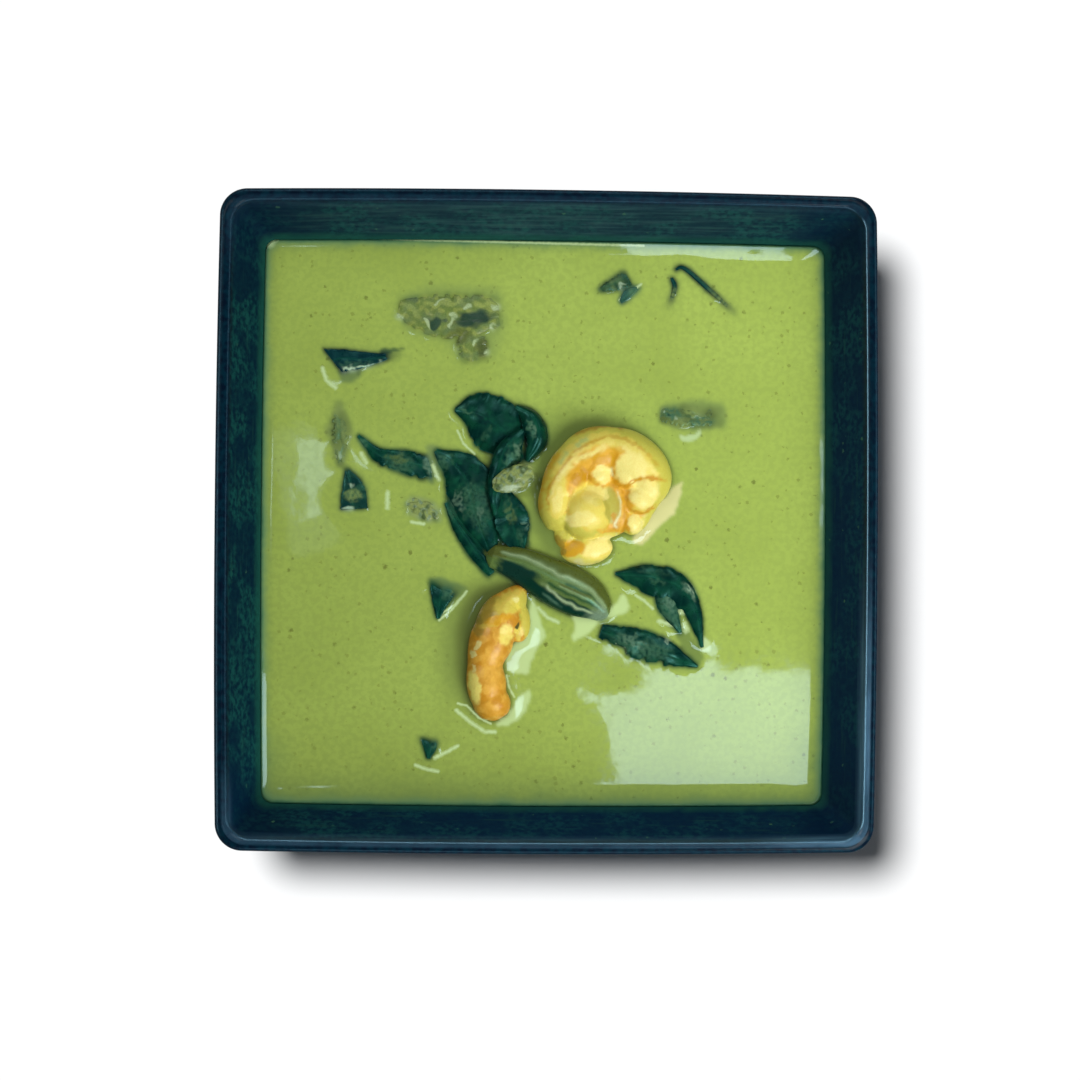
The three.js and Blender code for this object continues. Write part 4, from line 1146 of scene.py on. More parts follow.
# %% [markdown]
# ## Prawns
#
# A cooked prawn is firm flesh in swelling segments, pale yellow where it is thick and orange in the valleys
# between. Its body is a ball drawn out along a path, and lumps of flesh are pressed balls pushed into it. A
# Voxel remesh fuses them into one skin, and smoothing rounds the joins. Colour is then worked out for each
# point of that skin, in soft patches and in lines that follow the valleys.

# %% Fused flesh
def fuse(name, parts, voxel, smooth_steps):
    """One closed skin round overlapping closed parts: voxel remesh, then smoothing, both applied."""
    points, quads, triangles = [], [], []
    start = 0
    for p, q, t in parts:
        points.append(p)
        quads.append(q + start)
        triangles.append(t + start)
        start += len(p)
    rough = new_piece("rough", np.concatenate(points), np.concatenate(quads), np.concatenate(triangles))
    remesh = rough.modifiers.new("remesh", "REMESH")
    remesh.mode = "VOXEL"
    remesh.voxel_size = voxel * MM
    remesh.use_smooth_shade = True
    smooth = rough.modifiers.new("smooth", "SMOOTH")
    smooth.iterations = smooth_steps
    smooth.factor = 0.5
    shown = rough.evaluated_get(bpy.context.evaluated_depsgraph_get())
    mesh = bpy.data.meshes.new_from_object(shown)
    mesh.name = name
    mesh.shade_smooth()
    bpy.data.objects.remove(rough)
    piece = bpy.data.objects.new(name, mesh)
    bpy.context.scene.collection.objects.link(piece)
    return piece


def prawn_body(path, radii, segments, rows, columns):
    """The path's ball with radius * (0.94 - 0.05 belly + (0.06 + 0.07 belly) * swell): swell is the size of
    sin(pi * segments * s), belly goes from 1 inside the curve to 0 outside."""
    def radius(s, angle):
        belly = 0.5 + 0.5 * np.cos(angle)
        swell = np.abs(np.sin(np.pi * segments * s))
        return through(radii, s) * (0.94 - 0.05 * belly + (0.06 + 0.07 * belly) * swell)
    points, _, _, quads, triangles = bent_ball(path, radius, radius, rows, columns)
    return points, quads, triangles


# %% Prawn shapes
LARGE_PATH = [[22.6, -2.8, -1], [24.2, 0.8, -0.4], [26, 6, 0.3], [26.6, 12.2, 0.6], [20.9, 17.5, 0.8],
              [13.6, 18.4, 1], [8.2, 15.4, 1], [5, 10.2, 0.8], [3.6, 4.4, 0.6], [6.4, -1.6, 0]]
LARGE_RADII = [1.6, 2.8, 4, 6.9, 7.1, 6.9, 6.4, 5.8, 5.3, 4.6]
LARGE_LUMPS = [((14.6, 5, 0.4), (10, 9, 4.8), 0), ((10.9, 2.4, 2.4), (6.8, 6.3, 5.4), 0.5),
               ((11, -6.6, -1.2), (7.4, 4.6, 3.8), 0.12), ((5.7, -3.2, -0.6), (3.3, 3.6, 2.8), 0),
               ((13.7, 12.4, 3), (3.8, 3, 3.2), 0.3), ((21.2, 12.8, 2.9), (4.6, 4, 3.9), -0.4),
               ((24.4, 6.3, 2.4), (4.1, 3.8, 3.6), 0.6), ((22.6, 0.2, 1.2), (2.9, 3.2, 2.8), 0.4)]
SMALL_PATH = [[-5, -16.2, 0.3], [-7.6, -19.6, 0.6], [-10.4, -23.4, 0.8], [-13.1, -29.4, 0.8],
              [-14.9, -35.6, 0.6], [-14.7, -42.3, 0.5], [-13.2, -47.2, 0], [-12.4, -51.4, -0.6]]
SMALL_RADII = [1.2, 3.6, 5.5, 5.9, 5, 5.1, 4.9, 3]
SMALL_LUMPS = [((-9.6, -26.6, 2.9), (2.9, 3.4, 2.7), 0.6), ((-6.8, -25.4, 0.2), (3.4, 5.6, 2.8), 0.1)]

large = fuse("large_prawn", [prawn_body(LARGE_PATH, LARGE_RADII, 6, 160, 72)]
             + [ball(*lump) for lump in LARGE_LUMPS], 0.35, 5)
small = fuse("small_prawn", [prawn_body(SMALL_PATH, SMALL_RADII, 5, 140, 64)]
             + [ball(*lump) for lump in SMALL_LUMPS], 0.3, 5)
print("prawn vertices:", len(large.data.vertices), len(small.data.vertices))

# %% Prawn finish
prawn_flesh, shader = food_finish("prawn_flesh", mottle=(2.2, 1.8), dents=(1.6, 0.35),
                                  shade=rgb(250, 242, 222), gloss=(0.28, 0.45), depth=0.12, ior=1.34)
shader.inputs["Subsurface Weight"].default_value = 0.06
shader.inputs["Subsurface Radius"].default_value = (0.0016, 0.0009, 0.0004)
shader.inputs["Subsurface Scale"].default_value = 1.0

# %% Lines on the flesh
LINE_SAMPLES = 160


def beside(path, x, y):
    """For places (x, y): the distance to the path seen from above, and how far along it the nearest of
    LINE_SAMPLES points is."""
    line = through(path, np.linspace(0, 1, LINE_SAMPLES))[:, :2]
    best, where = np.full(np.shape(x), 1e9), np.zeros(np.shape(x))
    for i, (px, py) in enumerate(line):
        away = (x - px) ** 2 + (y - py) ** 2
        nearer = away < best
        best = np.where(nearer, away, best)
        where = np.where(nearer, i / (LINE_SAMPLES - 1), where)
    return np.sqrt(best), where


def line_mask(x, y, line, width, seed, wander=0.25):
    """A soft band along a line, with a wandering edge and weaker ends: the bell curve of the distance to the
    line, divided by the width."""
    away, along = beside([[a, b, 0] for a, b in line], x, y)
    away = away + wander * waves(x, y, 1.8, seed)
    ends = step(0.0, 0.06, along) * step(1.0, 0.94, along)
    return np.exp(-(away / width) ** 2) * (0.35 + 0.65 * ends)


def paint_lines(tint, x, y, lines, seed, wander=0.25):
    """Lays soft bands (colour, amount, width, line) over a tint, one after another."""
    for colour, amount, width, line in lines:
        tint = blend(tint, colour, amount * line_mask(x, y, line, width, seed, wander))
    return tint


# %% Large prawn colours
PALE = rgb(250, 238, 146)
YELLOW = rgb(238, 222, 104)
COATED = rgb(214, 209, 92)
AWASH = rgb(172, 170, 74)
ORANGE = rgb(236, 184, 62)
MID_ORANGE = rgb(218, 166, 36)
DEEP_ORANGE = rgb(200, 148, 10)
points = points_of(large)
x, y, z = points[:, 0], points[:, 1], points[:, 2] - LEVEL
wx = x + 0.22 * waves(x, y, 2.4, 71) + 0.08 * waves(x, y, 0.9, 72)
wy = y + 0.22 * waves(x, y, 2.4, 73) + 0.08 * waves(x, y, 0.9, 74)
outer = np.hypot((wx - 15.2) / 16.6, (wy - 10.4) / 15.8)
tint = blend(ORANGE, MID_ORANGE, step(-0.3, 0.9, waves(x, y, 3.2, 75)))
tint = blend(tint, YELLOW, step(0.55, 0.66, outer) * step(-2, 3, y - 2))
tint = blend(tint, COATED, step(0.79, 0.85, outer + 0.02 * waves(x, y, 3.0, 76)))
# The PALE lines along the crest and the light green streaks are painted highlights; the other lines are the
# flesh's own colours.
LINES = [
    (DEEP_ORANGE, 0.85, 0.5, [[0.9, 3.6], [0.9, 8.6], [3.4, 13.0], [7.2, 18.2], [11.6, 20.9], [16.2, 22.6]]),
    (DEEP_ORANGE, 0.5, 0.5, [[16.2, 22.6], [21.0, 21.4], [25.6, 18.4], [29.0, 14.6]]),
    (MID_ORANGE, 0.75, 1.0, [[-1.8, 2.0], [-1.4, 8.0], [0.8, 14.2], [3.6, 18.4]]),
    (rgb(178, 132, 52), 0.8, 0.7, [[7.4, 23.0], [11.6, 24.6], [16.6, 25.6], [21.0, 24.8]]),
    (PALE, 0.9, 0.75, [[1.4, 5.4], [3.4, 11.6], [7.2, 15.6], [11.4, 17.8], [15.8, 19.8]]),
    (YELLOW, 0.9, 0.7, [[2.6, 13.6], [6.4, 18.8], [11.2, 21.8], [16.8, 23.6]]),
    (PALE, 0.8, 0.7, [[19.4, 19.8], [22.6, 17.6], [26.0, 15.2], [29.0, 12.4]]),
    (rgb(190, 208, 128), 0.8, 0.8, [[7.6, 19.8], [10.6, 22.0]]),
    (rgb(190, 208, 128), 0.7, 0.6, [[3.4, 15.2], [5.6, 18.4]]),
]
tint = paint_lines(tint, x, y, LINES, 77)

# %% Large prawn patches
# Two pale patches on the front lump, at (9.0, 0.9) and (15.4, 7.4), are painted highlights.
PATCHES = [
    (DEEP_ORANGE, 1.0, (8.9, 11.6), (3.1, 1.9), 0.6), (DEEP_ORANGE, 1.0, (6.4, 6.2), (2.7, 1.0), 0.9),
    (DEEP_ORANGE, 0.7, (5.2, 3.4), (1.2, 0.6), 0.6), (MID_ORANGE, 0.9, (16.6, 16.4), (3.2, 1.3), -0.1),
    (YELLOW, 1.0, (12.1, 4.2), (6.4, 6.4), 0.4), (PALE, 0.55, (12.6, 7.6), (3.4, 2.4), 0.5),
    (AWASH, 0.75, (17.2, 4.4), (2.2, 4.8), 0.1), (rgb(226, 214, 104), 0.7, (13.2, 5.4), (1.4, 1.0), 0.0),
    (YELLOW, 1.0, (3.4, 5.2), (2.4, 4.4), -0.15),
    (PALE, 1.0, (21.8, 14.2), (4.2, 4.1), 0.2), (PALE, 0.9, (23.6, 11.2), (2.6, 1.8), -0.4),
    (PALE, 1.0, (25.4, 7.4), (3.8, 3.6), 0.0), (PALE, 1.0, (23.5, 0.0), (2.1, 2.6), 0.2),
    (PALE, 0.95, (14.6, 12.6), (2.5, 2.5), 0.1), (PALE, 0.8, (3.2, 5.8), (1.3, 3.6), -0.15),
    (PALE, 0.95, (9.0, 0.9), (3.9, 2.0), 0.1), (PALE, 0.6, (15.4, 7.4), (1.0, 1.4), 0.0),
    (YELLOW, 1.0, (14.6, -6.0), (5.8, 3.2), 0.3), (PALE, 1.0, (14.2, -6.0), (5.0, 2.2), 0.38),
    (MID_ORANGE, 0.95, (6.8, -6.6), (3.6, 2.2), 0.1), (rgb(160, 138, 50), 0.9, (3.8, -6.0), (1.8, 2.8), 0.2),
    (DEEP_ORANGE, 0.9, (27.6, 11.5), (1.3, 0.6), 0.2), (DEEP_ORANGE, 0.8, (18.0, 0.6), (0.7, 2.4), 0.1),
]
tint = paint_ovals(tint, wx, wy, PATCHES, 0.16)

# %% Large prawn valleys
VALLEY, EDGE_GLINT = rgb(208, 154, 36), rgb(226, 226, 168)
VALLEYS = [
    (VALLEY, 1.0, 0.55, [[19.6, 8.8], [21.0, 6.0], [20.4, 3.0], [20.8, 0.0], [19.6, -3.6]]),
    (VALLEY, 1.0, 0.5, [[18.2, 9.6], [21.0, 9.9], [23.6, 11.2], [26.8, 11.8], [30.6, 11.2]]),
    (VALLEY, 0.95, 0.5, [[18.4, 18.4], [17.4, 14.5], [17.8, 11.2], [17.8, 8.8]]),
    (VALLEY, 0.9, 0.45, [[12.6, 16.0], [11.3, 12.8], [12.4, 10.2], [15.4, 9.6]]),
    (VALLEY, 0.95, 0.45, [[20.9, 4.6], [22.6, 3.2], [25.6, 2.8], [28.6, 4.6]]),
    (VALLEY, 0.9, 0.4, [[21.6, 2.6], [21.2, 0.0], [22.0, -2.6]]),
]
# Pale lines along the prawn's edge at the waterline are painted highlights.
EDGE_GLINTS = [
    (EDGE_GLINT, 0.9, 0.3, [[18.4, 8.6], [19.4, 5.8], [19.4, 2.6], [18.4, 0.6], [18.0, -0.4], [18.8, -1.2]]),
    (EDGE_GLINT, 0.9, 0.25, [[18.6, -2.4], [18.8, -4.0], [18.2, -5.0]]),
    (EDGE_GLINT, 0.9, 0.3, [[16.9, 14.2], [17.4, 12.2]]),
]
# A pale band along the lower lump's near edge is a painted reflection of the window.
LOW_EDGE_HIGHLIGHT = [(rgb(206, 208, 150), 0.9, 0.9, [[7.4, -9.6], [11.6, -11], [16.4, -10.2], [18, -8.4]])]
tint = paint_lines(tint, x, y, VALLEYS, 78)
tint = paint_lines(tint, x, y, EDGE_GLINTS, 79, 0.1)
tint = paint_lines(tint, x, y, LOW_EDGE_HIGHLIGHT, 80)
tint = blend(tint, AWASH, step(0.9, -0.3, z + 0.4 * waves(x, y, 2.5, 81)) * 0.6)
keep(large, "tint", tint)
# On the map the prawn leaves a dark olive, not its tint: its flank seen through the curry, darkened further
# as painted shade round the prawn.
mark_tops(points, np.broadcast_to(rgb(112, 126, 58), points.shape))
stand_for(large, "prawn_large", prawn_flesh)

# %% Small prawn colours
points = points_of(small)
x, y, z = points[:, 0], points[:, 1], points[:, 2] - LEVEL
wx = x + 0.22 * waves(x, y, 2.2, 83) + 0.08 * waves(x, y, 0.9, 84)
wy = y + 0.22 * waves(x, y, 2.2, 85) + 0.08 * waves(x, y, 0.9, 86)
tint = blend(rgb(204, 146, 44), rgb(218, 162, 58), step(-0.3, 0.8, waves(x, y, 3.6, 87)))
grain = waves(x, y, 2.8, 101) + 0.4 * waves(x, y, 1.1, 102)
# The pale spots on the small prawn's left side are painted glints.
GLINT_SPOT = rgb(232, 222, 146)
SMALL_PATCHES = [
    (rgb(160, 142, 58), 0.9, (-14.6, -22.6), (4.6, 2.6), 0.75),
    (rgb(140, 126, 56), 0.7, (-17.4, -26.4), (1.6, 3.2), 0.2),
    (rgb(228, 176, 72), 0.9, (-13.6, -38.2), (2.4, 6.4), 0.05),
    (rgb(222, 168, 64), 0.9, (-13.6, -48.4), (2.2, 1.8), 0.0),
    (rgb(216, 198, 84), 0.95, (-9.2, -20.6), (4.6, 2.6), 0.62),
    (rgb(226, 214, 92), 0.9, (-7.8, -21.4), (3.0, 1.9), 0.6),
    (rgb(204, 196, 84), 0.95, (-4.6, -24.0), (1.8, 6.4), 0.1),
    (rgb(218, 198, 84), 0.6, (-13.8, -26.2), (3.2, 0.8), 0.3),
    (MID_ORANGE, 0.9, (-11.8, -25.0), (3.4, 1.2), 0.25),
    (rgb(240, 224, 116), 1.0, (-10, -29.1), (1.9, 2.7), 0.0),
    (rgb(236, 190, 84), 0.5, (-12.6, -29.0), (1.0, 2.0), 0.1),
    (rgb(234, 220, 104), 0.9, (-6.6, -28.6), (1.1, 2.0), -0.2),
    (rgb(240, 228, 124), 1.0, (-18.0, -42.6), (1.5, 4.3), 0.14),
    (rgb(92, 84, 40), 1.0, (-7.0, -26.7), (0.5, 0.7), -0.3),
    (GLINT_SPOT, 0.9, (-17.4, -32.0), (0.7, 1.5), -0.6),
    (GLINT_SPOT, 0.9, (-18.4, -34.2), (0.8, 0.7), 0.0),
    (GLINT_SPOT, 0.8, (-18.2, -37.6), (0.5, 0.9), 0.2),
    (rgb(238, 232, 150), 0.9, (-7.4, -20.0), (0.8, 0.6), 0.3),
]
tint = paint_ovals(tint, wx, wy, SMALL_PATCHES, 0.22)
orange_share = step(0.05, 0.2, tint[:, 0] - tint[:, 1])
tint = blend(tint, rgb(240, 196, 88), 0.35 * step(0.2, 0.9, grain) * orange_share)
tint = blend(tint, rgb(196, 138, 30), 0.3 * step(-0.2, -0.9, grain) * orange_share)
tint = blend(tint, AWASH, step(0.9, -0.3, z + 0.4 * waves(x, y, 2.5, 88)) * 0.55)
keep(small, "tint", tint)
# On the map the prawn leaves a dark olive, not its tint: its flank seen through the curry, darkened further
# as painted shade round the prawn.
mark_tops(points, np.broadcast_to(rgb(104, 112, 50), points.shape))
stand_for(small, "prawn_small", prawn_flesh)

# %% [markdown]
# ## The curry
#
# Coconut milk and green paste: an opaque, glossy liquid. Where it touches a piece it climbs a little, and
# that slope is what catches the window. For small slopes the height h of such a surface obeys "the sum of
# its bends equals h divided by the square of a length", about 2 mm here. The array is relaxed until that
# holds, with the heights fixed at the pieces. Along the bowl's wall it climbs in a smooth bevel, which is
# added on top: narrow on the left, wide on the near side and on the right half of the far side. Just below
# the torn leaf the surface sags by a few hundredths of a millimetre, which dents the window's reflection.

# %% Curry grid
HALF_STEPS = 146
CLIMB_LENGTH = 2.0
PIECE_CLIMB = 0.32
WALL_SLOPE = math.radians(7.5)
WALL_REACH = 3.6
index = np.arange(-HALF_STEPS, HALF_STEPS + 1) / HALF_STEPS
a, b = np.meshgrid(index, index, indexing="ij")
reach = np.maximum(np.abs(a), np.abs(b))
safe = np.where(reach > 0, reach, 1)
side = np.where(np.abs(a) >= np.abs(b), np.where(a >= 0, 0, 2), np.where(b >= 0, 1, 3))
q = np.select([side == 0, side == 1, side == 2, side == 3], [b, -a, -b, a]) / safe
EDGE_BEND = 1 - 5 / HALF_STEPS
curry_half = well_half(LEVEL)
ox, oy = outline(side + q / 2, curry_half, 3.0, EDGE_BEND)
x, y = reach * ox, reach * oy
print("curry grid", x.shape, "step", round(curry_half / HALF_STEPS, 3), "mm")

# %% Curry height
def relax(fixed, heights, cells, rounds):
    """Repeats h = sum of the four neighbours / (4 + 1 / cells squared), except where the height is fixed."""
    h = np.where(fixed, heights, 0.0)
    for _ in range(rounds):
        total = h[:-2, 1:-1] + h[2:, 1:-1] + h[1:-1, :-2] + h[1:-1, 2:]
        h[1:-1, 1:-1] = np.where(fixed[1:-1, 1:-1], heights[1:-1, 1:-1], total / (4 + 1 / cells**2))
    return h


def wall_climb(away, stretch):
    """Height of a bevel whose slope at a distance d is WALL_SLOPE * exp(-(d / WALL_REACH) to the power 4),
    summed from far off; stretch makes it wider and higher alike."""
    d = np.linspace(0, 12, 601)
    slope = np.tan(WALL_SLOPE) * np.exp(-((d / WALL_REACH) ** 4))
    height = np.cumsum(slope[::-1])[::-1] * (d[1] - d[0])
    return stretch * np.interp(away / stretch, d, height)


# %% Curry surface
SAG_DEPTH = 0.06
SAG_CENTRE = (19, -37)
RELAX_ROUNDS = 160
from_wall = (1 - reach) * curry_half
stands_out = soften((tops > 0.15).astype(float), 1.0)
sagging = oval(map_x, map_y, (20, -34), (13, 7), 0, 0.6)
climb = soften(np.clip(tops - 0.2, 0.0, PIECE_CLIMB) * (1 - 0.85 * sagging), 1.5)
fixed = read_map(stands_out, x, y) > 0.5
grid_step = curry_half / HALF_STEPS
rise = relax(fixed, read_map(climb, x, y), CLIMB_LENGTH / grid_step, RELAX_ROUNDS)
near = 1 / (1 + curry_half - np.stack([-x, x, y, -y])) ** 2
top_width = np.interp(x, [-72, -30, 15, 40], [0.45, 0.5, 1.4, 1.5])
width = np.stack([0.56 + 0 * x, 0.97 + 0 * x, top_width, 1.38 + 0 * x])
stretch = (near * width).sum(0) / near.sum(0) * (1 + 0.05 * waves(x, y, 60, 89) + 0.01 * waves(x, y, 9, 90))
rise += wall_climb(from_wall, stretch)
rise -= SAG_DEPTH * np.exp(-((x - SAG_CENTRE[0]) ** 2) / 72 - (y - SAG_CENTRE[1]) ** 2 / 98)
swell = 0.006 * waves(x, y, 34, 91) + 0.0024 * waves(x, y, 11, 92) + 0.0005 * waves(x, y, 4, 94)
z = LEVEL + rise + swell * step(1.0, 0.9, reach)
print("curry climbs to", round(float(rise.max()), 2), "mm")

# %% Curry mesh
index = np.arange(x.size).reshape(x.shape)
rim = np.concatenate([index[:-1, 0], index[-1, :-1], index[:0:-1, -1], index[0, :0:-1]])
rim_p = (side + q / 2).ravel()[rim] % 4
FLOOR_GAP = 0.2  # between the curry's underside and the well
gaps = [(LEVEL - 1, 0.1), (26.0, FLOOR_GAP), (19.0, FLOOR_GAP), (12.0, FLOOR_GAP)]
rows = [(well_half(height) - gap, height, 3.0) for height, gap in gaps]
lean = math.atan2(1, WALL_LEAN)
round_middle = well_half(WELL_FLOOR) - WELL_ROUND * math.tan(lean / 2)
underside = WELL_FLOOR + FLOOR_GAP
for i in range(4, -1, -1):
    turn = lean * i / 5
    rows.append((round_middle + WELL_ROUND * math.sin(turn) - FLOOR_GAP,
                 underside + WELL_ROUND * (1 - math.cos(turn)), 3.0))
rows.append((30.0, underside, 2.0))
lower = []
for half, height, corner in rows:
    px, py = outline(rim_p, half, corner, EDGE_BEND)
    lower.append(np.stack([px, py, np.full(px.shape, height)], 1))
lower = np.concatenate(lower)
top_points = np.stack([x, y, z], -1).reshape(-1, 3)
start = len(top_points)
points = np.concatenate([top_points, lower, [[0, 0, underside]]])
band = np.concatenate([rim[None, :], start + np.arange(len(lower)).reshape(len(rows), -1)])
after = np.roll(band, -1, axis=1)
sides = np.stack([band[:-1], after[:-1], after[1:], band[1:]], -1).reshape(-1, 4)
floor_fan = np.stack([band[-1], after[-1], np.full(band.shape[1], len(points) - 1)], 1)
top_faces = grid_faces(*x.shape)
quads, triangles = np.concatenate([top_faces[:, ::-1], sides[:, ::-1]]), floor_fan[:, ::-1]
curry = new_piece("green_curry", points, quads, triangles)
print("curry volume, ml:", round(abs(signed_volume(points, quads, triangles)) / 1000, 1))

# %% [markdown]
# ## Sunk bits, painted shadows and painted reflections
#
# Shapes below the surface show as soft shades. The darker olive to the left of each prawn is painted
# shadow, laid the same way, and the pale patches beside the pieces are painted reflections of the window,
# laid as thin pale films. Each is a row of (colour, amount, blur in millimetres, outline). Sunk shapes and
# painted shadows go under the shades that the pieces leave on the map, and the painted reflections go over
# everything.

# %% What is wholly sunk, and painted shadows
SUNK_AND_SHADOWS = [
    # Painted shadow of the large prawn: darker olive to its left, between it and the leaves.
    (rgb(126, 146, 72), 0.7, 2.6,
     [[17.9, 29.2], [6.5, 28.2], [-1.7, 24.3], [-5.8, 12], [-5, -4], [4, -10], [14.8, 0], [28, 18],
      [27, 24]]),
    (rgb(92, 108, 52), 0.85, 0.9,
     [[17.9, 26.8], [12.2, 27.2], [7.5, 26.2], [2.2, 23.1], [-0.7, 18.3], [-2.8, 11.8], [-3.5, 5.2],
      [-2.8, -1.3], [0.7, -7.1], [8.3, -9.7], [14.8, -9.2], [14.8, 24.9]]),
    (rgb(36, 72, 54), 0.85, 0.25, [[-43, 44.8], [-39, 45.1], [-36.2, 44.9], [-39, 43.9], [-43, 42.9]]),
    # Painted shadow of the small prawn: darker olive to its left.
    (rgb(118, 136, 68), 0.7, 2.0,
     [[-6.2, -14.4], [-14.5, -13.9], [-21.4, -17.6], [-25.5, -22.8], [-27.1, -30.1], [-27.1, -38],
      [-25, -44.3], [-19.3, -49], [-11.4, -45.9]]),
    (rgb(88, 94, 40), 0.95, 0.8,
     [[-6.2, -15.2], [-13.5, -16], [-18.7, -18.6], [-21.4, -22.8], [-22.7, -28], [-23, -34.1], [-22, -40.6],
      [-20.4, -45.9], [-17.4, -49.8], [-11.4, -45.9], [-11.4, -19.7]]),
    (rgb(8, 50, 40), 0.95, 0.3,
     [[-14.5, 1.3], [-10.1, 2.6], [-5.1, -0.8], [-3.5, -5.2], [-4.1, -7.3], [-9.3, -8.1], [-14, -6.6]]),
    (rgb(86, 108, 50), 0.9, 0.3,
     [[-26.3, 6.8], [-24.5, 7.3], [-22.1, 4.5], [-18.7, -0.5], [-15.1, -5.2], [-13, -7.6], [-15.1, -8.9],
      [-19.8, -3.4], [-24, 2.1]]),
    (rgb(100, 124, 74), 0.85, 0.35,
     [[-54.1, 38.8], [-50.7, 39.3], [-47, 40.3], [-47.8, 37.7], [-50.2, 35.9], [-52.8, 35.9]]),
    (rgb(112, 134, 68), 0.85, 0.35,
     [[34.7, -26.7], [36.8, -26.5], [38.9, -29.1], [40.5, -32.2], [41.8, -34.6], [41, -36.7], [38.4, -35.1],
      [36, -32.2], [34.7, -29.6]]),
    (rgb(96, 124, 76), 0.8, 0.35,
     [[-29.7, -14.4], [-27.1, -14.1], [-22.9, -15.5], [-19.3, -17], [-21.1, -19.1], [-24.5, -21.2],
      [-26.9, -23.3], [-28.7, -21.2]]),
    (rgb(120, 142, 84), 0.85, 0.35,
     [[-31, 19.9], [-29.2, 20.2], [-26.9, 19.1], [-26.9, 14.4], [-27.4, 10.2], [-29.2, 11.8],
      [-30.5, 15.5]]),
    (rgb(112, 128, 78), 0.6, 0.5,
     [[-57.4, 23.6], [-54.6, 26.4], [-53.4, 31.4], [-52.2, 26], [-49.4, 23.4], [-51.6, 20], [-52.6, 12.6],
      [-54.4, 19.2]]),
    (rgb(112, 136, 82), 0.6, 0.6,
     [[30.4, 31], [39, 32.6], [47, 31.4], [47.6, 25.6], [38.6, 24], [33, 25.4]]),
    (rgb(128, 150, 84), 0.55, 1.2,
     [[-38.6, 58], [-30, 61.6], [-12, 61], [-10.4, 52], [-13, 42.6], [-23, 43.4], [-27, 48], [-36, 49]]),
]
# Painted reflections: pale patches beside the pieces where the curry's slope would mirror the window, laid as
# thin pale films.
PAINTED_REFLECTIONS = [
    (rgb(224, 220, 156), 0.9, 0.25,
     [[36, 11.3], [35.1, 6], [33.9, 2.6], [31.2, 0.5], [28.5, -2.2], [26.4, -4.9], [25.3, -5.5],
      [23.4, -5.4], [22.9, -4.2], [24.8, -0.9], [27.4, 2.4], [29.5, 5.3], [31.6, 7.1], [33.1, 9.2]]),
    (rgb(190, 214, 148), 0.9, 0.25,
     [[-2.9, -19.2], [-1.2, -23.6], [0.5, -29.4], [-2, -33.3], [-3.1, -35.7], [-3.7, -39], [-7, -39.3],
      [-9.6, -37.9], [-9.6, -34.1], [-7.2, -30.9], [-4.6, -28.5], [-3.8, -24.9], [-3.5, -21.4]]),
    (rgb(190, 214, 148), 0.9, 0.25,
     [[-3.4, -42.9], [-3.1, -45.3], [-4.3, -48.5], [-6.7, -51.4], [-9.6, -52.7], [-11.7, -52.8],
      [-12.2, -51.6], [-9.3, -50], [-7.5, -47.4], [-6.7, -45.4]]),
    (rgb(196, 220, 150), 0.9, 0.25,
     [[7.2, -24.1], [9.3, -23.2], [11.7, -23.2], [14.5, -23.6], [13.8, -26.5], [12.2, -28.3], [10.1, -29.6],
      [7.7, -30.7], [7.2, -29.1], [8.3, -27.5], [8.3, -25.9]]),
    (rgb(196, 220, 150), 0.9, 0.25,
     [[20.6, -18.1], [21.6, -19.7], [22.5, -21.5], [21.6, -23.1], [19.5, -23.8], [16.9, -24.6],
      [15.6, -23.4], [17.6, -21.8], [19, -20.4]]),
    (rgb(196, 220, 160), 0.85, 0.2,
     [[41.8, -29.1], [43.4, -30.4], [43.6, -32.8], [42.1, -33.3], [40.8, -32.8], [41.2, -31.4],
      [41.8, -30.9]]),
    (rgb(190, 214, 156), 0.9, 0.2,
     [[35, 23.6], [36.8, 22.8], [38.9, 23.6], [40.7, 24.9], [41, 23.8], [39.4, 22], [37.3, 21.5],
      [35.5, 22]]),
]

# %% What shows through
SHADE_BLUR, HAZE_BLUR = 1.6, 4.5  # in cells of the map
film_map = np.exp(-np.maximum(0, 0.05 - tops) / SEEN_DEPTH)
film_map[tops < -3] = 0
soft_film = soften(film_map, SHADE_BLUR)
soft_colour = soften(top_colour * film_map[..., None], SHADE_BLUR)
soft_colour /= np.maximum(soft_film, 1e-3)[..., None]
haze = 0.3 * soften((tops > -0.6).astype(float), HAZE_BLUR)
haze_colour = np.broadcast_to(rgb(92, 118, 66), top_colour.shape)
soft_film, soft_colour = lay_over(haze, haze_colour, soft_film, soft_colour)
for colour, amount, blur, corners in SUNK_AND_SHADOWS:
    soft_film, soft_colour = lay_over(amount * area(corners, blur), np.broadcast_to(colour, top_colour.shape),
                                      soft_film, soft_colour)
for colour, amount, blur, corners in PAINTED_REFLECTIONS:
    soft_film, soft_colour = lay_over(soft_film, soft_colour, amount * area(corners, blur), colour)
film = np.clip(read_map(soft_film, x, y), 0, 1)
seen = np.clip(read_map(soft_colour, x, y), 0, 1)
print("share of the curry with something under it:", round(float((film > 0.5).mean()), 3))


def to_all(values, fill=0.0):
    """Values of the top surface, filled out for the vertices of the sides and bottom."""
    flat = values.reshape(x.size, -1)
    rest = np.full((len(points) - x.size, flat.shape[1]), fill)
    return np.concatenate([flat, rest]).squeeze()


# %% Shades along the wall
uneven_edge = 0.3 * waves(x, y, 8, 93) + 0.15 * waves(x, y, 2.2, 95)
# Painted shade: the curry darker near the wall, widest along the near wall; close to the wall it is also the
# curry thinning over the dark bowl.
low_shade = 1 - step(0, 11, from_wall + uneven_edge + 6 * step(-60, -66, -y))
shade_near_wall = 0.5 * (1 - step(0.3, 4.0, from_wall + uneven_edge)) + 0.35 * low_shade * step(-50, -62, y)
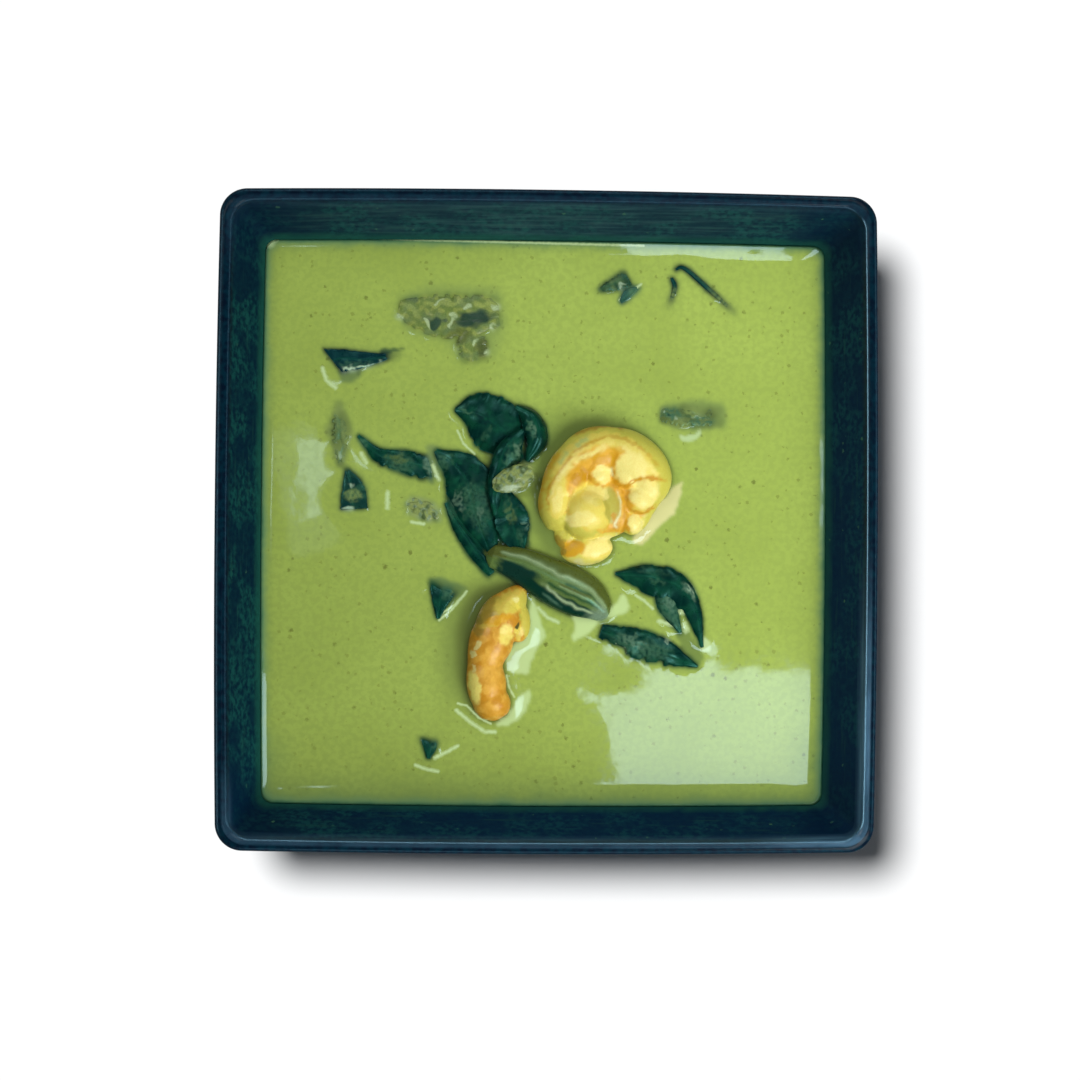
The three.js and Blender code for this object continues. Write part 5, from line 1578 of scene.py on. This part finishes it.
# The tone is painted light: brighter towards the upper right, with painted shade darkening it towards the
# near wall.
tone = (0.975 + 0.0019 * x + 0.0012 * y) * (1 - 0.08 * step(-40, -70, y))
keep(curry, "film", to_all(film))
keep(curry, "seen", to_all(seen))
keep(curry, "shade_near_wall", to_all(shade_near_wall))
keep(curry, "tone", to_all(tone, 1.0))
keep(curry, "wall_shade", to_all(1 - step(-0.3, 1.3, from_wall + 0.3 * uneven_edge), 1.0))
keep(curry, "wall_film", to_all(1 - step(-0.3, 2.4, from_wall + 0.5 * uneven_edge), 1.0))

# %% [markdown]
# ## The finish of the curry
#
# Green curry is never one green: herbs and spice give it specks. It also carries painted light: painted
# shade, with the curry thinning over the wall, makes it darker towards the wall; its tone is painted light
# that brightens it towards the upper right; and pale painted glints lie where its slopes would mirror the
# window. The tone and the shades at the wall come from the values kept above, the specks from the shared
# group, and each glint is a copy of the glint streak group between two points. A very low roughness makes
# the wet mirror. The dents that break it up are about a thousandth of a millimetre deep.

# %% Painted glint streaks
GLINT_STREAKS = [
    (0.55, [[-57.8, 39.6], [-56.7, 36.4], [-54.4, 34.6]]),
    (0.32, [[-22.7, 23.8], [-21.1, 20.4], [-18.2, 17.8]]),
    (0.3, [[-26.6, -23.8], [-22.9, -21.2], [-20, -17.8]]),
    (0.5, [[-27.9, -61], [-25.3, -59.7], [-22.1, -57.9]]),
    (0.45, [[-32.9, -62.9], [-30.3, -63.9], [-27.1, -64.5]]), (0.6, [[-40.7, 7.6], [-40.7, 3.7]]),
    (0.45, [[-34.5, 0], [-31.3, -0.5]]), (0.4, [[24, -18.6], [26.1, -19.9], [28.4, -22]]),
    (0.55, [[30, -25.2], [33.4, -26.2]]), (0.8, [[36, -19.4], [36, -22.8]]),
    (0.75, [[36.8, -26.1], [37.2, -27.6]]), (0.35, [[19.3, 58.2], [24.8, 62.4]]),
    (0.3, [[-9.5, -39.6], [-8.8, -42.7], [-7.5, -45.1]]),
    (0.5, [[-22.4, -48.7], [-18.8, -51.7], [-15, -54.2], [-12.4, -54.2]]),
    (0.3, [[-22.1, -46.9], [-19.8, -47.4], [-16.6, -50.6], [-13.5, -52.1]]),
    (0.5, [[-1.4, -22], [0.9, -24.4], [3.8, -25.7]]), (0.5, [[-29, 14.7], [-27.5, 11.1]]),
    (0.55, [[-47.6, 17.6], [-46.2, 15.2]]), (0.3, [[-68.5, 74.2], [-32.4, 73.2], [25.3, 72.4]]),
    (1.1, [[-71.6, 71.8], [-71.0, 72.8]]), (0.35, [[-27.1, -25.4], [-24, -22.8], [-20.2, -18.2]]),
]

# %% Curry colours
green_curry, tree, shader = new_material("green_curry")
tone, wall_film, wall_shade = (kept_value(tree, label) for label in ("tone", "wall_film", "wall_shade"))
broad = place_group(tree, mottle_group, {"Size": 22.0, "Contrast": 2.0})
fine = place_group(tree, mottle_group, {"Size": 1.5, "Contrast": 2.8})
dust = place_group(tree, specks_group, {"Spacing": 1.5, "Radius": 0.34, "Share": 0.6})
crumbs = place_group(tree, specks_group, {"Spacing": 3.9, "Radius": 0.15, "Share": 0.6})
# The tone, as a grey that multiplies the colour: painted light and shade.
grey = put(tree, "ShaderNodeCombineColor", {"Red": tone, "Green": tone, "Blue": tone}).outputs[0]
colour = colour_mix(tree, broad["Broad"], rgb(156, 177, 81), rgb(168, 190, 90))
colour = lay_colour(tree, colour, rgb(146, 167, 80), fine["Broad"], 0.25, 0.75, 0.45)
colour = colour_mix(tree, 1.0, colour, grey, "MULTIPLY")
colour = lay_colour(tree, colour, rgb(118, 128, 56), dust["Mask"], 0.0, 0.8, 0.45)
colour = lay_colour(tree, colour, rgb(92, 98, 40), crumbs["Mask"], 0.0, 0.7, 0.9)
# Painted shade near the wall.
colour = colour_mix(tree, kept_value(tree, "shade_near_wall"), colour, rgb(106, 136, 82))
colour = colour_mix(tree, wall_film, colour, rgb(112, 148, 98))
colour = colour_mix(tree, wall_shade, colour, rgb(40, 92, 70))
colour = colour_mix(tree, kept_value(tree, "film"), colour, kept_value(tree, "seen", "Color"))

# %% Painted glints on the curry
streaks = 0.0
for width, line in GLINT_STREAKS:
    for (ax, ay), (bx, by) in zip(line[:-1], line[1:]):
        ends = {"From X": ax, "From Y": ay, "To X": bx, "To Y": by, "Width": width}
        streaks = reckon(tree, "MAXIMUM", streaks, place_group(tree, glint_group, ends)["Mask"])
# The streaks are painted glints: pale where the curry's slopes would mirror the window.
colour = lay_colour(tree, colour, rgb(192, 216, 156), streaks, 0.0, 1.0, 0.9)
print("streaks of cream:", len(GLINT_STREAKS))

# %% Curry gloss
dents = place_group(tree, dents_group, {"Size": 1.6, "Grain": 0.15})
roughness = spread(tree, fine["Broad"], 0.3, 0.8, 0.018, 0.04)
finish_with(tree, shader, colour, roughness, dents["Height"], 0.0009, ior=1.38)
stand_for(curry, "curry", green_curry)

# %% [markdown]
# ## Light and floor
#
# The bowl is lit softly from the lower right, as by a window. What the flat curry mirrors is a window beside
# the camera: a few bright panes side by side, so that its corner is ragged, and one more pane at the left.
# Large soft boxes stand too low for the flat curry to mirror, so there they only shade. Four more boxes show
# in the bowl's gloss alone and give the lip its pale lines. The pale floor has a sun of its own from the
# upper left, which gives the bowl its drop shadow.

# %% World and floor
scene = bpy.context.scene
scene.view_settings.view_transform = "Standard"
world = bpy.data.worlds.new("room")
world.use_nodes = True
world.node_tree.nodes["Background"].inputs["Color"].default_value = (0.80, 1.0, 1.06, 1)
world.node_tree.nodes["Background"].inputs["Strength"].default_value = 0.09
scene.world = world

floor_mesh = bpy.data.meshes.new("floor")
floor_mesh.from_pydata([(-3, -3, 0), (3, -3, 0), (3, 3, 0), (-3, 3, 0)], [], [(0, 1, 2, 3)])
floor = bpy.data.objects.new("floor", floor_mesh)
scene.collection.objects.link(floor)
pale, tree, shader = new_material("pale_floor")
mottle = place_group(tree, mottle_group, {"Size": 60.0, "Contrast": 0.6})
colour = colour_mix(tree, mottle["Broad"], (0.88, 0.75, 0.75), (0.92, 0.78, 0.78))
finish_with(tree, shader, colour, 0.9)
floor.data.materials.append(pale)
floor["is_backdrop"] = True

# %% Lights
def light_set(name, state):
    """A collection that names the floor, for lights that reach only it or skip it."""
    group = bpy.data.collections.new(name)
    group.objects.link(floor)
    group.collection_objects[0].light_linking.link_state = state
    return group


skip_floor = light_set("skip_floor", "EXCLUDE")
only_floor = light_set("only_floor", "INCLUDE")


def softbox(name, azimuth, elevation, distance, size, power, tint=(1.0, 1.0, 1.0)):
    """An area light on a sphere round the curry's middle, aimed at it. Angles are in degrees, lengths in
    metres."""
    middle = Vector((0, 0, LEVEL * MM))
    az, el = math.radians(azimuth), math.radians(elevation)
    spot = Vector((math.cos(el) * math.cos(az), math.cos(el) * math.sin(az), math.sin(el))) * distance
    return panel(name, spot + middle, middle, size, power, tint)


def panel(name, spot, target, size, power, tint):
    """An area light at a spot, facing a target."""
    data = bpy.data.lights.new(name, "AREA")
    data.shape = "RECTANGLE"
    data.size, data.size_y = size
    data.energy = power
    data.color = tint
    lamp = bpy.data.objects.new(name, data)
    scene.collection.objects.link(lamp)
    facing = (spot - target).to_track_quat("Z", "Y").to_matrix().to_4x4()
    lamp.matrix_world = Matrix.Translation(spot) @ facing
    lamp.visible_camera = False
    lamp.light_linking.receiver_collection = skip_floor
    return lamp


def only_gloss(lamp, receivers):
    """Makes a light show in glossy reflections alone, on the named collection alone."""
    lamp.visible_diffuse = False
    lamp.light_linking.receiver_collection = receivers


# %% Boxes and window
softbox("key", -50, 40, 0.62, (0.34, 0.34), 3.5)
softbox("fill_left", 145, 50, 0.9, (0.3, 0.3), 2.4)
softbox("fill_top", 60, 45, 0.9, (0.4, 0.4), 1.9)

DAYLIGHT = (0.74, 1.0, 1.2)
WINDOW_HEIGHT = 1.047
WINDOW_RADIANCE = 8.5
PANES = [("window", (0.1541, -0.0817), (0.1042, 0.0564), 0, WINDOW_RADIANCE),
         ("window_top", (0.1621, -0.0505), (0.0882, 0.0060), 0, WINDOW_RADIANCE),
         ("window_side", (0.1010, -0.0850), (0.0036, 0.0420), 4, WINDOW_RADIANCE),
         ("window_point", (0.0974, -0.0584), (0.0120, 0.0052), 0, WINDOW_RADIANCE),
         ("left_pane", (-0.0575, 0.0480), (0.0110, 0.0430), 4, 5.6),
         ("left_glow", (-0.0580, 0.0430), (0.0220, 0.0640), 8, 0.9)]
for name, (pane_x, pane_y), (wide, tall), turn, radiance in PANES:
    spot = Vector((pane_x, pane_y, WINDOW_HEIGHT))
    power = radiance * math.pi * wide * tall
    lamp = panel(name, spot, Vector((pane_x, pane_y, 0)), (wide, tall), power, DAYLIGHT)
    lamp.matrix_world = lamp.matrix_world @ Matrix.Rotation(math.radians(turn), 4, "Z")

# %% Lines on the lip
only_bowl = bpy.data.collections.new("only_bowl")
only_bowl.objects.link(bowl)
RIM_TINT = (0.42, 0.8, 1.0)
RIM_DISTANCE = 0.8
RIM_SIZE = (0.7, 0.26)
RIMS = [("rim_right", 0, 17, 7.0), ("rim_top", 90, 17, 14.0), ("rim_left", 180, 19, 26.0),
        ("rim_low", 270, 17, 8.0)]
for name, azimuth, elevation, power in RIMS:
    only_gloss(softbox(name, azimuth, elevation, RIM_DISTANCE, RIM_SIZE, power, RIM_TINT), only_bowl)

# %% Sun on the floor
sun = bpy.data.lights.new("floor_sun", "SUN")
sun.energy = 4.2
sun.color = (0.85, 1.0, 1.0)
sun.angle = math.radians(14)
lamp = bpy.data.objects.new("floor_sun", sun)
scene.collection.objects.link(lamp)
lamp.matrix_world = Vector((-0.29, 0.19, 1)).to_track_quat("Z", "Y").to_matrix().to_4x4()
lamp.light_linking.receiver_collection = only_floor
print("lights:", [light.name for light in bpy.data.lights])

# %% Finish
size = {"cad": [list(c) for c in cad_box], "visual": [list(c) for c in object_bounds()]}
print(size)
